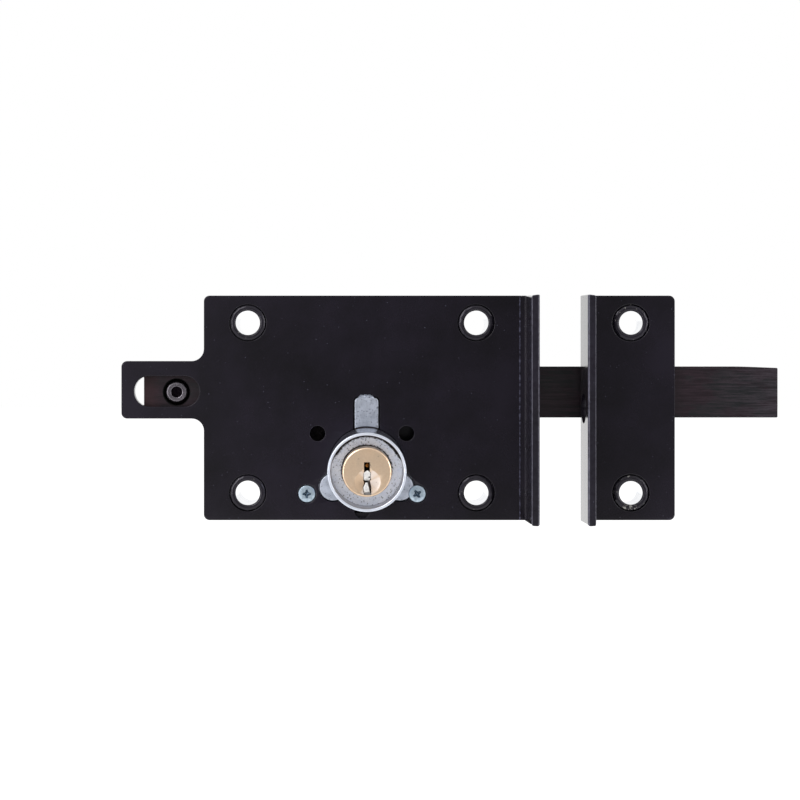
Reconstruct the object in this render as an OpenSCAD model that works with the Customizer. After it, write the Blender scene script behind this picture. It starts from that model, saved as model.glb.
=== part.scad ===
// Surface-mounted rim lock with a long sliding bar, seen from the door side, and its keep.
// X runs along the bar towards the keep, Y runs away from the door and Z runs up.
// The origin is the centre of the four fixing holes, on the plate's door-side face.

/* [Back plate] */
// Thickness of the folded steel sheet
plate_t = 2.5; // [2:0.1:2.6]
// Height of the plate and the keep
plate_h = 70; // [68:1:76]
// Length of the plate from its left edge to the flange's outer face
plate_l = 102.4; // [101:0.1:106]
// Depth of the flange in front of the plate
flange_d = 15; // [10:0.5:20]
// Inside radius of the folds
fold_r = 1.5; // [1:0.1:2]
// Corner radius of the plate
corner_r = 1.8; // [1:0.1:3]
// Length of the tab beyond the plate's left edge
tab_l = 25.9; // [25:0.1:30]
// Height of the tab
tab_h = 17.8; // [17:0.1:20]
// Height of the tab's middle above the origin
tab_z = 5.7; // [5:0.1:6]
// Radius of the tab's inner corners
tab_fillet = 3.8; // [2:0.1:5]
// Length of the slot in the tab
slot_l = 20.5; // [16:0.1:20.5]
// Height of the slot in the tab
slot_h = 9.4; // [9:0.1:10]
// Height of the slot's middle above the origin
slot_z = 5.2; // [5:0.1:5.5]
// Distance from the tab's end to the slot
slot_margin = 3.75; // [3:0.05:4]

/* [Fixings] */
// Distance from the plate's left edge to the fixing holes
fix_side = 13.5; // [13:0.1:15]
// Distance from the flange's outer face to the fixing holes
fix_flange = 17.7; // [17:0.1:18]
// Distance from the plates' top and bottom edges to the fixing holes
fix_edge = 8.5; // [8:0.1:9]
// Bore of the tube pillars
fix_bore = 7.7; // [6:0.1:8]
// Outside diameter of the tube pillars where they pass through the sheet
pillar_d = 9.9; // [9.5:0.1:10.5]
// Outside diameter of the pillars' shoulders between the sheets
shoulder_d = 12; // [11.5:0.1:13]
// Diameter of the peened ends
peen_d = 11.4; // [11:0.1:12]
// Depth of the peened ends' seats
peen_h = 0.8; // [0.6:0.1:1]

/* [Case] */
// Depth of the case behind the plate
case_d = 14; // [13.8:0.1:18]
// Wall of the case and the keep's box
case_t = 1.5; // [1:0.1:1.6]
// Distance from the plate's edge to the case's side
case_inset = 0.5; // [0.3:0.1:0.6]
// Corner radius of the case
case_r = 3; // [2:0.1:4]

/* [Bar] */
// Length of the bar
bar_l = 199; // [190:1:220]
// Height of the bar
bar_h = 16; // [15:0.1:16.2]
// Thickness of the bar
bar_t = 6; // [5.8:0.1:6.4]
// How far the thrown bar's tail stands out past the plate's left edge
tail_l = 19.5; // [19:0.1:21]
// Height of the bar's middle above the origin
bar_z = 4.85; // [4.8:0.05:5.2]
// Gap between the bar and what guides it
bar_gap = 0.3; // [0.2:0.05:0.4]
// Travel of the bar from thrown to drawn back
bar_travel = 78.5; // [60:0.5:78.5]
// Depth of the rack that is cut in the rear half of the bar
rack_w = 3.6; // [3:0.1:3.8]
// Sheet thickness of the guides
guide_t = 1.5; // [1:0.1:1.6]
// Width of each guide's foot
guide_foot = 6; // [4:0.5:7]

/* [Pull knob] */
// Distance from the bar's tail to the cap screw
screw_inset = 10.4; // [10:0.1:12]
// Head diameter of the cap screw
cap_head_d = 7; // [6.5:0.1:7.4]
// Head height of the cap screw
cap_head_h = 3.9; // [3:0.1:4]
// Thread diameter of the cap screw
cap_d = 4; // [3:0.1:5]
// Width across flats of the cap screw's socket
cap_socket = 3; // [2.5:0.1:3.5]
// Diameter of the counterbore in the bar
cap_seat_d = 8.3; // [7.6:0.1:9]
// Diameter of the knob
knob_d = 15.8; // [12:0.2:16]
// Length of the knob
knob_l = 22; // [18:0.5:30]
// Diameter of the knob's neck
knob_neck_d = 9; // [8:0.2:10]
// Depth of the tapped hole in the knob
knob_tap_l = 9.5; // [8:0.5:12]
// Thickness of the washer under the knob
washer_t = 0.8; // [0.5:0.1:1.2]
// Outside diameter of that washer
washer_d = 9; // [8.8:0.1:10]

/* [Cylinder] */
// Distance of the cylinder's axis to the right of the origin
cyl_x = 1.4; // [1:0.1:2]
// Distance of the cylinder's axis below the origin
cyl_drop = 17.7; // [17.6:0.1:18]
// Outside diameter of the bright sleeve
ring_d = 23.2; // [23:0.1:23.6]
// Wall of the bright sleeve
ring_t = 0.95; // [0.7:0.05:1]
// Length of the sleeve in front of the plate
ring_l = 26.9; // [24:0.1:32]
// Depth of the die-cast face below the sleeve's rim
face_depth = 7.6; // [5:0.1:9]
// Diameter of the plug's head
plug_head_d = 14.5; // [14:0.1:15]
// Diameter of the plug
plug_d = 13.2; // [13:0.1:13.6]
// Width of the top of the keyway
keyway_w = 1.7; // [1.4:0.05:1.8]
// Height of the keyway's top above the plug's axis
keyway_top = 2.9; // [2.5:0.1:3]
// Depth of the keyway's bottom below the plug's axis
keyway_bottom = 6.6; // [6.2:0.1:6.8]
// Diameter of the dished lead-in in the plug's face
dish_d = 7.4; // [6:0.1:8]
// Drop of the dish below the plug's axis
dish_drop = 2.8; // [2:0.1:3]
// Depth of the dish
dish_h = 0.9; // [0.5:0.1:1.2]
// Number of pin stacks
pins = 5; // [4:1:5]
// Spacing of the pin stacks
pin_pitch = 3.7; // [3.4:0.1:3.8]
// Diameter of the pins
pin_d = 2.8; // [2.4:0.1:2.9]
// Length of the driver pins
driver_l = 1.6; // [1.2:0.1:1.8]
// Width of the tongue above the cylinder
tongue_w = 7.4; // [6:0.1:8]
// Height of the tongue's end above the cylinder's axis
tongue_h = 20.4; // [18:0.1:20.8]
// Radius of the two lobes
lobe_r = 4.2; // [3.5:0.1:4.5]
// Sideways distance of a lobe from the cylinder's axis
lobe_dx = 10.4; // [10:0.1:11]
// Drop of a lobe below the cylinder's axis
lobe_drop = 6.95; // [6.5:0.05:7.2]
// Play between the cylinder's base and the plate's cut-out
base_gap = 0.4; // [0.2:0.1:0.5]
// Thickness of the cylinder's flange behind the plate
flange_back_t = 2.2; // [1.8:0.1:2.3]
// Thread diameter of the countersunk screws
screw_d = 3; // [2.5:0.1:3]
// Head diameter of the countersunk screws
screw_head_d = 5.2; // [5:0.1:5.4]
// Diameter of the spare holes
spare_d = 4.75; // [4:0.05:5]

/* [Gears] */
// Tooth module of the gears and the rack
tooth_m = 1.25; // [1.25:0.01:1.25]
// Teeth of the drive gear
drive_teeth = 20; // [20:1:20]
// Teeth of the idler gear
idler_teeth = 16; // [16:1:17]
// Face width of the gears
gear_w = 3.2; // [2.5:0.1:3.2]
// Backlash at each mesh
backlash = 0.2; // [0.15:0.01:0.3]
// Diameter of the drive gear's journal
journal_d = 10; // [9:0.1:10.5]
// Outside diameter of the bush
bush_d = 13; // [12.5:0.1:14]
// Diameter of the idler's pin
idler_pin_d = 6; // [5:0.1:6.5]
// Radial running clearance of shafts
run_gap = 0.05; // [0.03:0.01:0.08]

/* [Clutch] */
// Stroke of the clutch dog
dog_stroke = 1.5; // [1:0.1:1.5]
// Width across the clutch dog's wings
dog_w = 12; // [11:0.1:12.2]
// Thickness of the clutch dog's wings
dog_t = 2; // [1.6:0.1:2.2]
// Wire diameter of the clutch spring
clutch_wire = 0.5; // [0.4:0.05:0.6]

/* [Friction spring] */
// Bend radius of the bow
bow_r = 80; // [70:5:100]
// Distance between the two posts
bow_span = 36; // [34:1:38]
// Thickness of the spring strip
strip_t = 0.6; // [0.4:0.05:0.7]
// Diameter of the posts
post_d = 4; // [3.6:0.1:4.4]

/* [Keep] */
// Gap between the lock's and the keep's flanges
keep_gap = 14.8; // [12:0.1:18]
// Length of the keep's plate
keep_l = 29.4; // [28:0.1:34]
// Distance from the keep flange's outer face to the fixing holes
keep_fix_x = 15.7; // [15:0.1:18]
// Diameter of the hole in the keep's flange
keep_hole_d = 9; // [6:0.1:9.5]
// Distance of that hole in front of the plate
keep_hole_y = 6.9; // [6.5:0.1:8]

/* [Hidden] */

// Small clearances and cuts
seat_gap = 0.05;
over = 1;
round_fn = 64;

// Places along Y
bar_y0 = plate_t + bar_gap;
bar_y1 = bar_y0 + bar_t;
case_back = plate_t + case_d;
case_in = case_back - case_t;
keep_in = bar_y1 + bar_gap;
keep_back = keep_in + case_t;

// Places along X and Z
half_h = plate_h / 2;
fix_x = (plate_l - fix_side - fix_flange) / 2;
fix_z = half_h - fix_edge;
plate_left = fix_x + fix_side;
flange_x = fix_x + fix_flange;
keep_x = flange_x + keep_gap;
bar_tail = plate_left + tail_l;
flat_end = flange_x - plate_t - fold_r;
bar_bottom = bar_z - bar_h / 2;
bar_top = bar_z + bar_h / 2;
bar_screw_x = screw_inset - bar_tail;
slot_mid = -plate_left - tab_l + slot_margin + slot_l / 2;
case_x0 = -plate_left + case_inset;
case_x1 = flat_end - case_inset;
keep_x0 = keep_x + plate_t + fold_r + case_inset;
keep_x1 = keep_x + keep_l - case_inset;
keep_fix = keep_x + keep_fix_x;
lock_fixings = [for (sx = [-1, 1], sz = [-1, 1]) [sx * fix_x, sz * fix_z]];
keep_fixings = [for (sz = [-1, 1]) [keep_fix, sz * fix_z]];

// Cylinder
cyl_z = -cyl_drop;
ring_front = -ring_l;
face_y = ring_front + face_depth;
base_proud = 0.5;
base_r = ring_d / 2 - 0.3;
barrel_r = ring_d / 2 - ring_t - seat_gap;
body_back = plate_t + flange_back_t;
plug_r = plug_d / 2;
flange_r = ring_d / 2 + 0.3;
ear_w = 8;
screw_spots = [[-17.2, -26.8], [17.2, -26.8]];
spare_spots = [[-13.85, -8], [13.85, -8], [0, -32.3]];
first_pin_y = face_y + 2.3;
pin_ys = [for (i = [0:pins - 1]) first_pin_y + i * pin_pitch];
pin_bottom = keyway_top + 0.15;
shear_r = sqrt(plug_r * plug_r - pin_d * pin_d / 4) - seat_gap;
driver_r0 = plug_r + 2 * run_gap;
pin_spring_r0 = driver_r0 + driver_l + seat_gap;
pin_wire = 0.3;
clip_t = 0.7;
clip_recess = 1.1;
clip_r = 8.2;
clip_groove_r = plug_r - 0.8;
clip_y = body_back - clip_recess + 0.15;
tail_r = 3.5;
tail_y0 = body_back - 0.15;

// Gears: a stub tooth, so that the idler needs no undercut
pressure_angle = 20;
tooth_add = 0.9 * tooth_m;
tooth_ded = 1.15 * tooth_m;
pitch_l = PI * tooth_m;
drive_r = tooth_m * drive_teeth / 2;
idler_r = tooth_m * idler_teeth / 2;
rack_y0 = bar_y1 - rack_w;
rack_z = bar_bottom + tooth_add;
idler_z = rack_z - idler_r;
idler_dz = idler_z - cyl_z;
idler_dx = sqrt(pow(drive_r + idler_r, 2) - idler_dz * idler_dz);
idler_x = cyl_x - idler_dx;
gear_y0 = rack_y0 + 0.2;
gear_y1 = gear_y0 + gear_w;
rack_gaps = ceil(bar_travel / pitch_l) + 1;
// A gap of the idler faces the rack, and a gap of the drive gear meets the idler's first tooth
mesh_angle = atan2(idler_dz, -idler_dx);
idler_phase = 90 + 180 / idler_teeth;
drive_phase = mesh_angle - (idler_phase - mesh_angle + 180) * idler_teeth / drive_teeth
    + 180 / drive_teeth;

// Drive gear's hub, bush and clutch
bush_flange_t = 0.8;
hub_r = 7.6;
hub_y1 = case_in - bush_flange_t - 0.1;
bush_proud = 0.4;
journal_y1 = case_back;
dog_l = 1.6;
dog_y0 = gear_y0 + 0.1;
dog_y1 = dog_y0 + dog_l;
dog_play = 0.1;
hub_step_y = dog_y1 + dog_play;
hub_slot_y = dog_y1 + dog_stroke + 0.6;
hub_bore_y = case_in - 2.1;
tail_y1 = hub_slot_y + 0.8;
spring_seat_r = 2.2;
clutch_spring_r = spring_seat_r - 0.25 - clutch_wire / 2;

// Idler's pin
idler_pin_r = idler_pin_d / 2;
idler_hub_r = idler_pin_r + 2.2;
idler_clip_t = 0.6;
idler_clip_y = gear_y0 - 0.2 - idler_clip_t;
idler_clip_r = idler_pin_r + 1.6;
idler_groove_r = idler_pin_r - 0.6;
pin_head_h = 0.8;

// Friction spring, between the guides
bow_x = 4;
bow_rest = 0.1;
bow_w = 5;
bow_y0 = bar_y0 + (bar_t - bow_w) / 2;
bow_sag = bow_r - sqrt(bow_r * bow_r - bow_span * bow_span / 4);
eye_r = post_d / 2 + seat_gap;
post_z = bar_top + bow_rest + bow_sag + 1.4 * strip_t + eye_r;
post_xs = [bow_x - bow_span / 2, bow_x + bow_span / 2];

// Each guide fills the room between the case's end wall and the pillars, less a gap at both ends
guide_top = bar_top + bar_gap + guide_t;
guide_low = bar_bottom - bar_gap - guide_t;
guide_clear = 0.2;
pillar_side = fix_x + shoulder_d / 2 + guide_clear;
tail_guide_x = case_x0 + case_t + guide_clear;
nose_guide_x = case_x1 - case_t - guide_clear;

plate_black = "#232127";
bar_black = "#2b2629";
zinc = "#a5a9b1";
bright = "#d5d8e0";
plated = "#a9b8c4";
brass = "#c3a785";
steel = "#8f9296";
bronze = "#a9814f";

// Outline in X and Z, carried along Y from y0 to y1
module along_y(y0, y1) {
    translate([0, y1, 0]) rotate([90, 0, 0]) linear_extrude(y1 - y0) children();
}

// Round bar or cone along Y
module cone_y(x, z, y0, r0, y1, r1) {
    translate([x, y0, z]) rotate([-90, 0, 0])
        cylinder(h = y1 - y0, r1 = r0, r2 = r1, $fn = round_fn);
}

module rod_y(x, z, y0, y1, r) {
    cone_y(x, z, y0, r, y1, r);
}

module tube_y(x, z, y0, y1, r_in, r_out) {
    difference() {
        rod_y(x, z, y0, y1, r_out);
        rod_y(x, z, y0 - over, y1 + over, r_in);
    }
}

// Rectangle with round corners, given by two opposite corners
module round_rect(x0, z0, x1, z1, r) {
    translate([x0 + r, z0]) square([x1 - x0 - 2 * r, z1 - z0]);
    translate([x0, z0 + r]) square([x1 - x0, z1 - z0 - 2 * r]);
    for (x = [x0 + r, x1 - r], z = [z0 + r, z1 - r])
        translate([x, z]) circle(r, $fn = round_fn);
}

// Helical wire along Y, as one tube; ring and side counts keep it light
module coil_y(x, z, y0, y1, mean_r, wire, turns) {
    steps = turns * 10;
    sides = 6;
    rise = y1 - y0 - wire;
    points = [for (i = [0:steps], k = [0:sides - 1])
        let (a = 360 * turns * i / steps, b = 360 * k / sides, r = mean_r + wire / 2 * cos(b))
        [x + r * cos(a), y0 + wire / 2 + rise * i / steps + wire / 2 * sin(b), z + r * sin(a)]];
    walls = [for (i = [0:steps - 1], k = [0:sides - 1], half = [0, 1])
        let (a = i * sides + k, b = i * sides + (k + 1) % sides)
        half == 0 ? [a, b, b + sides] : [a, b + sides, a + sides]];
    caps = [for (k = [1:sides - 2], end = [0, 1])
        end == 0 ? [0, k + 1, k] : [steps * sides, steps * sides + k, steps * sides + k + 1]];
    polyhedron(points, concat(walls, caps));
}

// Flange with its fold: outer face at x = 0, sheet running on to +x
module fold_and_flange() {
    translate([0, -flange_d, -half_h]) cube([plate_t, flange_d - fold_r, plate_h]);
    translate([plate_t + fold_r, -fold_r, -half_h]) intersection() {
        difference() {
            cylinder(h = plate_h, r = fold_r + plate_t, $fn = round_fn);
            translate([0, 0, -over]) cylinder(h = plate_h + 2 * over, r = fold_r, $fn = round_fn);
        }
        translate([-fold_r - plate_t, 0, 0]) cube([fold_r + plate_t, fold_r + plate_t, plate_h]);
    }
}

// Hole for a tube pillar with the seat of its peened end in the sheet's outer face
module pillar_hole(x, z, y_outer, y_inner) {
    inward = y_inner > y_outer ? 1 : -1;
    seat_y = y_outer + inward * peen_h;
    rod_y(x, z, min(y_outer, y_inner) - over, max(y_outer, y_inner) + over, pillar_d / 2 + seat_gap);
    if (inward > 0)
        cone_y(x, z, y_outer, peen_d / 2 + seat_gap, seat_y, pillar_d / 2 + seat_gap);
    else
        cone_y(x, z, seat_y, pillar_d / 2 + seat_gap, y_outer, peen_d / 2 + seat_gap);
}

// Tube pillar between the front sheet and a cover whose outer face is at y = back
module pillar(x, z, back) {
    difference() {
        union() {
            rod_y(x, z, 0, back, pillar_d / 2);
            rod_y(x, z, plate_t, back - case_t, shoulder_d / 2);
            cone_y(x, z, 0, peen_d / 2, peen_h, pillar_d / 2);
            cone_y(x, z, back - peen_h, pillar_d / 2, back, peen_d / 2);
        }
        rod_y(x, z, -over, back + over, fix_bore / 2);
    }
}

// Pressed box behind a sheet, open towards it, with a slot for the bar in both end walls
module sheet_box(x0, x1, back, spots) {
    z1 = half_h - case_inset;
    difference() {
        along_y(plate_t, back) round_rect(x0, -z1, x1, z1, case_r);
        along_y(plate_t - over, back - case_t)
            round_rect(x0 + case_t, case_t - z1, x1 - case_t, z1 - case_t, case_r - case_t);
        translate([x0 - over, plate_t - over, bar_bottom - bar_gap])
            cube([x1 - x0 + 2 * over, bar_y1 + bar_gap - plate_t + over, bar_h + 2 * bar_gap]);
        for (s = spots) pillar_hole(s[0], s[1], back, back - case_t);
    }
}

// Outline of the cylinder's base: disc, two lobes with their webs and the tongue
module base_outline(grow) {
    web_half = 0.8 * (lobe_r + grow);
    translate([cyl_x, cyl_z]) {
        circle(base_r + grow, $fn = round_fn);
        for (side = [-1, 1]) {
            translate([side * lobe_dx, -lobe_drop]) circle(lobe_r + grow, $fn = round_fn);
            rotate(side > 0 ? -atan2(lobe_drop, lobe_dx) : 180 + atan2(lobe_drop, lobe_dx))
                translate([0, -web_half])
                    square([norm([lobe_dx, lobe_drop]), 2 * web_half]);
        }
        round_rect(-tongue_w / 2 - grow, 0, tongue_w / 2 + grow, tongue_h + grow, 1 + grow);
    }
}

// Countersunk head and shank of a small screw, with an allowance for its hole
module screw_shape(x, z, gap, y_end) {
    head_h = (screw_head_d - screw_d) / 2;
    cone_y(x, z, -gap, screw_head_d / 2 + gap, head_h, screw_d / 2 + gap);
    rod_y(x, z, 0, y_end, screw_d / 2 + gap);
}

// Keyway with its wards, in the plug's own X and Z
module keyway_outline() {
    w = keyway_w / 2;
    polygon([[-w, keyway_top], [w, keyway_top], [w, 0.2], [w + 0.3, -0.2], [w + 0.3, -2.2],
        [w - 0.1, -2.7], [w + 0.4, -4.2], [w + 0.4, -keyway_bottom], [-w, -keyway_bottom],
        [-w - 0.4, -4.4], [-w + 0.1, -3.3], [-w - 0.2, -2.2], [-w - 0.2, -0.4], [-w, 0]]);
}

function involute(a) = tan(a) * 180 / PI - a;

function polar(r, a) = [r * cos(a), r * sin(a)];

// Half the angle that a tooth takes up at radius r
function tooth_half(r, pitch_r) =
    (pitch_l - backlash) / 4 / pitch_r * 180 / PI
    + involute(pressure_angle) - involute(acos(pitch_r * cos(pressure_angle) / r));

// Involute gear outline, with the middle of its first tooth at the angle given
module gear_outline(teeth, phase) {
    pitch_r = tooth_m * teeth / 2;
    root_r = pitch_r - tooth_ded;
    flank_r0 = max(root_r, pitch_r * cos(pressure_angle) + 0.001);
    steps = 5;
    radii = [for (i = [0:steps]) flank_r0 + (pitch_r + tooth_add - flank_r0) * i / steps];
    polygon([for (t = [0:teeth - 1]) let (mid = phase + 360 * t / teeth) each concat(
        [polar(root_r, mid - tooth_half(flank_r0, pitch_r))],
        [for (r = radii) polar(r, mid - tooth_half(r, pitch_r))],
        [for (i = [steps:-1:0]) polar(radii[i], mid + tooth_half(radii[i], pitch_r))],
        [polar(root_r, mid + tooth_half(flank_r0, pitch_r))])]);
}

// One gap of the rack, centred at x
module rack_gap(x) {
    half = (pitch_l + backlash) / 4;
    lean = tan(pressure_angle);
    low = tooth_add + over;
    polygon([[x - half - low * lean, rack_z - low], [x + half + low * lean, rack_z - low],
        [x + half - tooth_ded * lean, rack_z + tooth_ded],
        [x - half + tooth_ded * lean, rack_z + tooth_ded]]);
}

// Retaining ring with an opening towards -Z
module retaining_ring(x, z, y, t, r_in, r_out) {
    difference() {
        tube_y(x, z, y, y + t, r_in, r_out);
        translate([x - r_in * 0.7, y - over, z - r_out - over])
            cube([r_in * 1.4, t + 2 * over, r_out + over]);
    }
}

module back_plate() {
    color(plate_black) difference() {
        union() {
            along_y(0, plate_t) {
                round_rect(-plate_left, -half_h, 0, half_h, corner_r);
                translate([-2 * corner_r, -half_h]) square([flat_end + 2 * corner_r, plate_h]);
                round_rect(-plate_left - tab_l, tab_z - tab_h / 2, 0, tab_z + tab_h / 2, corner_r);
                for (side = [-1, 1]) tab_corner(side);
            }
            translate([flange_x, 0, 0]) mirror([1, 0, 0]) fold_and_flange();
        }
        along_y(-over, plate_t + over) {
            round_rect(slot_mid - slot_l / 2, slot_z - slot_h / 2, slot_mid + slot_l / 2,
                slot_z + slot_h / 2, slot_h / 2 - 0.2);
            base_outline(base_gap);
            for (s = spare_spots) translate(s) circle(spare_d / 2, $fn = round_fn);
        }
        for (s = lock_fixings) pillar_hole(s[0], s[1], 0, plate_t);
        for (s = screw_spots) screw_shape(s[0], s[1], 2 * seat_gap, plate_t + over);
    }
}

// Fillet between the tab and the plate's left edge, above or below the tab
module tab_corner(side) {
    translate([-plate_left, tab_z + side * tab_h / 2]) difference() {
        translate([-tab_fillet, side > 0 ? 0 : -tab_fillet]) square(tab_fillet);
        translate([-tab_fillet, side * tab_fillet]) circle(tab_fillet, $fn = round_fn);
    }
}

module case_cover() {
    color(plate_black) difference() {
        sheet_box(case_x0, case_x1, case_back, lock_fixings);
        rod_y(cyl_x, cyl_z, case_in - over, case_back + over, bush_d / 2 + seat_gap);
        rod_y(idler_x, idler_z, case_in - over, case_back + over, idler_pin_r + seat_gap);
        cone_y(idler_x, idler_z, case_back - pin_head_h, idler_pin_r + seat_gap,
            case_back, idler_pin_r + pin_head_h + seat_gap);
        for (x = post_xs) rod_y(x, post_z, case_in - over, case_back + over, post_d / 2 + seat_gap);
    }
}

module mounting_pillars() {
    color(plate_black) for (s = lock_fixings) pillar(s[0], s[1], case_back);
}

module cylinder_body() {
    color(zinc) difference() {
        union() {
            rod_y(cyl_x, cyl_z, face_y, body_back, barrel_r);
            along_y(-base_proud, plate_t) base_outline(0);
            along_y(plate_t, body_back) {
                translate([cyl_x, cyl_z]) circle(flange_r, $fn = round_fn);
                for (s = screw_spots) screw_ear(s);
            }
        }
        rod_y(cyl_x, cyl_z, face_y - over, body_back + over, plug_r + run_gap);
        rod_y(cyl_x, cyl_z, body_back - clip_recess, body_back + over, clip_r + 0.4);
        for (y = pin_ys) translate([cyl_x, y, cyl_z])
            cylinder(h = barrel_r + over, r = pin_d / 2 + run_gap, $fn = round_fn);
        for (s = screw_spots) {
            screw_shape(s[0], s[1], 2 * seat_gap, plate_t);
            rod_y(s[0], s[1], -over, body_back + over, screw_d / 2 + run_gap);
        }
    }
}

// Arm of the flange behind the plate that a countersunk screw is threaded into
module screw_ear(spot) {
    reach = spot - [cyl_x, cyl_z];
    translate([cyl_x, cyl_z]) rotate(atan2(reach[1], reach[0]))
        translate([0, -0.4 * ear_w]) square([norm(reach), 0.8 * ear_w]);
    translate(spot) circle(ear_w / 2, $fn = round_fn);
}

module cylinder_ring() {
    chamfer = ring_t / 3;
    color(bright) translate([cyl_x, ring_front, cyl_z]) rotate([-90, 0, 0]) rotate_extrude($fn = 96)
        polygon([[ring_d / 2 - ring_t, chamfer], [ring_d / 2 - ring_t + chamfer, 0],
            [ring_d / 2 - chamfer, 0], [ring_d / 2, chamfer],
            [ring_d / 2, ring_l - base_proud], [ring_d / 2 - ring_t, ring_l - base_proud]]);
}

module plug() {
    edge = 0.4;
    dish_sphere_r = (dish_d * dish_d / 4 + dish_h * dish_h) / (2 * dish_h);
    color(brass) difference() {
        union() {
            cone_y(cyl_x, cyl_z, ring_front, plug_head_d / 2 - edge, ring_front + edge, plug_head_d / 2);
            rod_y(cyl_x, cyl_z, ring_front + edge, face_y - seat_gap, plug_head_d / 2);
            rod_y(cyl_x, cyl_z, face_y - seat_gap, tail_y0, plug_r);
            rod_y(cyl_x, cyl_z, tail_y0, tail_y1, tail_r);
        }
        along_y(ring_front - over, dog_y0) translate([cyl_x, cyl_z]) keyway_outline();
        translate([cyl_x, ring_front + dish_h - dish_sphere_r, cyl_z - dish_drop])
            sphere(dish_sphere_r, $fn = 96);
        for (y = pin_ys) translate([cyl_x, y, cyl_z + keyway_top - 1])
            cylinder(h = plug_r, r = pin_d / 2 + run_gap, $fn = round_fn);
        tube_y(cyl_x, cyl_z, clip_y - seat_gap, clip_y + clip_t + seat_gap, clip_groove_r, plug_r + over);
        translate([cyl_x - tail_r - over, dog_y0 - seat_gap, cyl_z - dog_t / 2 - seat_gap])
            cube([2 * (tail_r + over), tail_y1 - dog_y0 + over, dog_t + 2 * seat_gap]);
        rod_y(cyl_x, cyl_z, dog_y1, tail_y1 + over, spring_seat_r);
    }
}

module key_pins() {
    color(brass) for (y = pin_ys) translate([cyl_x, y, cyl_z + pin_bottom]) {
        tip = 0.6;
        cylinder(h = tip, r1 = pin_d / 4, r2 = pin_d / 2, $fn = round_fn);
        translate([0, 0, tip])
            cylinder(h = shear_r - pin_bottom - tip, r = pin_d / 2, $fn = round_fn);
    }
}

module driver_pins() {
    color(brass) for (y = pin_ys) translate([cyl_x, y, cyl_z + driver_r0])
        cylinder(h = driver_l, r = pin_d / 2, $fn = round_fn);
}

module pin_springs() {
    color(steel) for (y = pin_ys)
        translate([cyl_x, y, cyl_z]) rotate([90, 0, 0])
            coil_y(0, 0, pin_spring_r0, barrel_r - seat_gap, pin_d / 2 - 0.35, pin_wire, 3);
}

module plug_clip() {
    color(steel) retaining_ring(cyl_x, cyl_z, clip_y, clip_t, clip_groove_r + seat_gap, clip_r);
}

module cylinder_screws() {
    slot_w = 0.8;
    slot_span = 2.6;
    slot_depth = 1.2;
    y_end = body_back + 0.4;
    color(plated) for (s = screw_spots) difference() {
        screw_shape(s[0], s[1], 0, y_end);
        translate([s[0], 0, s[1]]) rotate([0, s[0] > 0 ? 33 : 0, 0]) for (turn = [0, 90])
            rotate([0, turn, 0]) cube([slot_span, 2 * slot_depth, slot_w], center = true);
    }
}

module clutch_dog() {
    color(steel) intersection() {
        rod_y(cyl_x, cyl_z, dog_y0, dog_y1, dog_w / 2);
        translate([cyl_x - dog_w, dog_y0 - over, cyl_z - dog_t / 2])
            cube([2 * dog_w, dog_l + 2 * over, dog_t]);
    }
}

module clutch_spring() {
    color(steel) coil_y(cyl_x, cyl_z, dog_y1 + seat_gap, hub_bore_y - seat_gap, clutch_spring_r,
        clutch_wire, 5);
}

module drive_gear() {
    color(steel) difference() {
        union() {
            along_y(gear_y0, gear_y1)
                translate([cyl_x, cyl_z]) gear_outline(drive_teeth, drive_phase);
            rod_y(cyl_x, cyl_z, gear_y1, hub_y1, hub_r);
            rod_y(cyl_x, cyl_z, hub_y1, journal_y1, journal_d / 2);
        }
        rod_y(cyl_x, cyl_z, gear_y0 - over, hub_step_y, dog_w / 2 + 3 * dog_play);
        rod_y(cyl_x, cyl_z, gear_y0 - over, hub_bore_y, tail_r + run_gap);
        intersection() {
            rod_y(cyl_x, cyl_z, hub_step_y - over, hub_slot_y, dog_w / 2 + 3 * dog_play);
            translate([cyl_x - dog_w, hub_step_y - over, cyl_z - dog_t / 2 - dog_play])
                cube([2 * dog_w, hub_slot_y - hub_step_y + over, dog_t + 2 * dog_play]);
        }
    }
}

module gear_bush() {
    color(bronze) difference() {
        union() {
            rod_y(cyl_x, cyl_z, case_in - bush_flange_t, case_in, bush_d / 2 + 1.5);
            rod_y(cyl_x, cyl_z, case_in, case_back + bush_proud, bush_d / 2);
        }
        rod_y(cyl_x, cyl_z, hub_y1, case_back + bush_proud + over, journal_d / 2 + run_gap);
    }
}

module idler_gear() {
    color(steel) difference() {
        union() {
            along_y(gear_y0, gear_y1)
                translate([idler_x, idler_z]) gear_outline(idler_teeth, idler_phase);
            rod_y(idler_x, idler_z, gear_y1, case_in - 0.2, idler_hub_r);
        }
        rod_y(idler_x, idler_z, gear_y0 - over, case_in + over, idler_pin_r + run_gap);
    }
}

module idler_pin() {
    color(steel) difference() {
        union() {
            rod_y(idler_x, idler_z, idler_clip_y - 0.4, case_back, idler_pin_r);
            cone_y(idler_x, idler_z, case_back - pin_head_h, idler_pin_r,
                case_back, idler_pin_r + pin_head_h);
        }
        tube_y(idler_x, idler_z, idler_clip_y - seat_gap, idler_clip_y + idler_clip_t + seat_gap,
            idler_groove_r, idler_pin_r + over);
    }
}

module idler_clip() {
    color(steel) retaining_ring(idler_x, idler_z, idler_clip_y, idler_clip_t,
        idler_groove_r + seat_gap, idler_clip_r);
}

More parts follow.
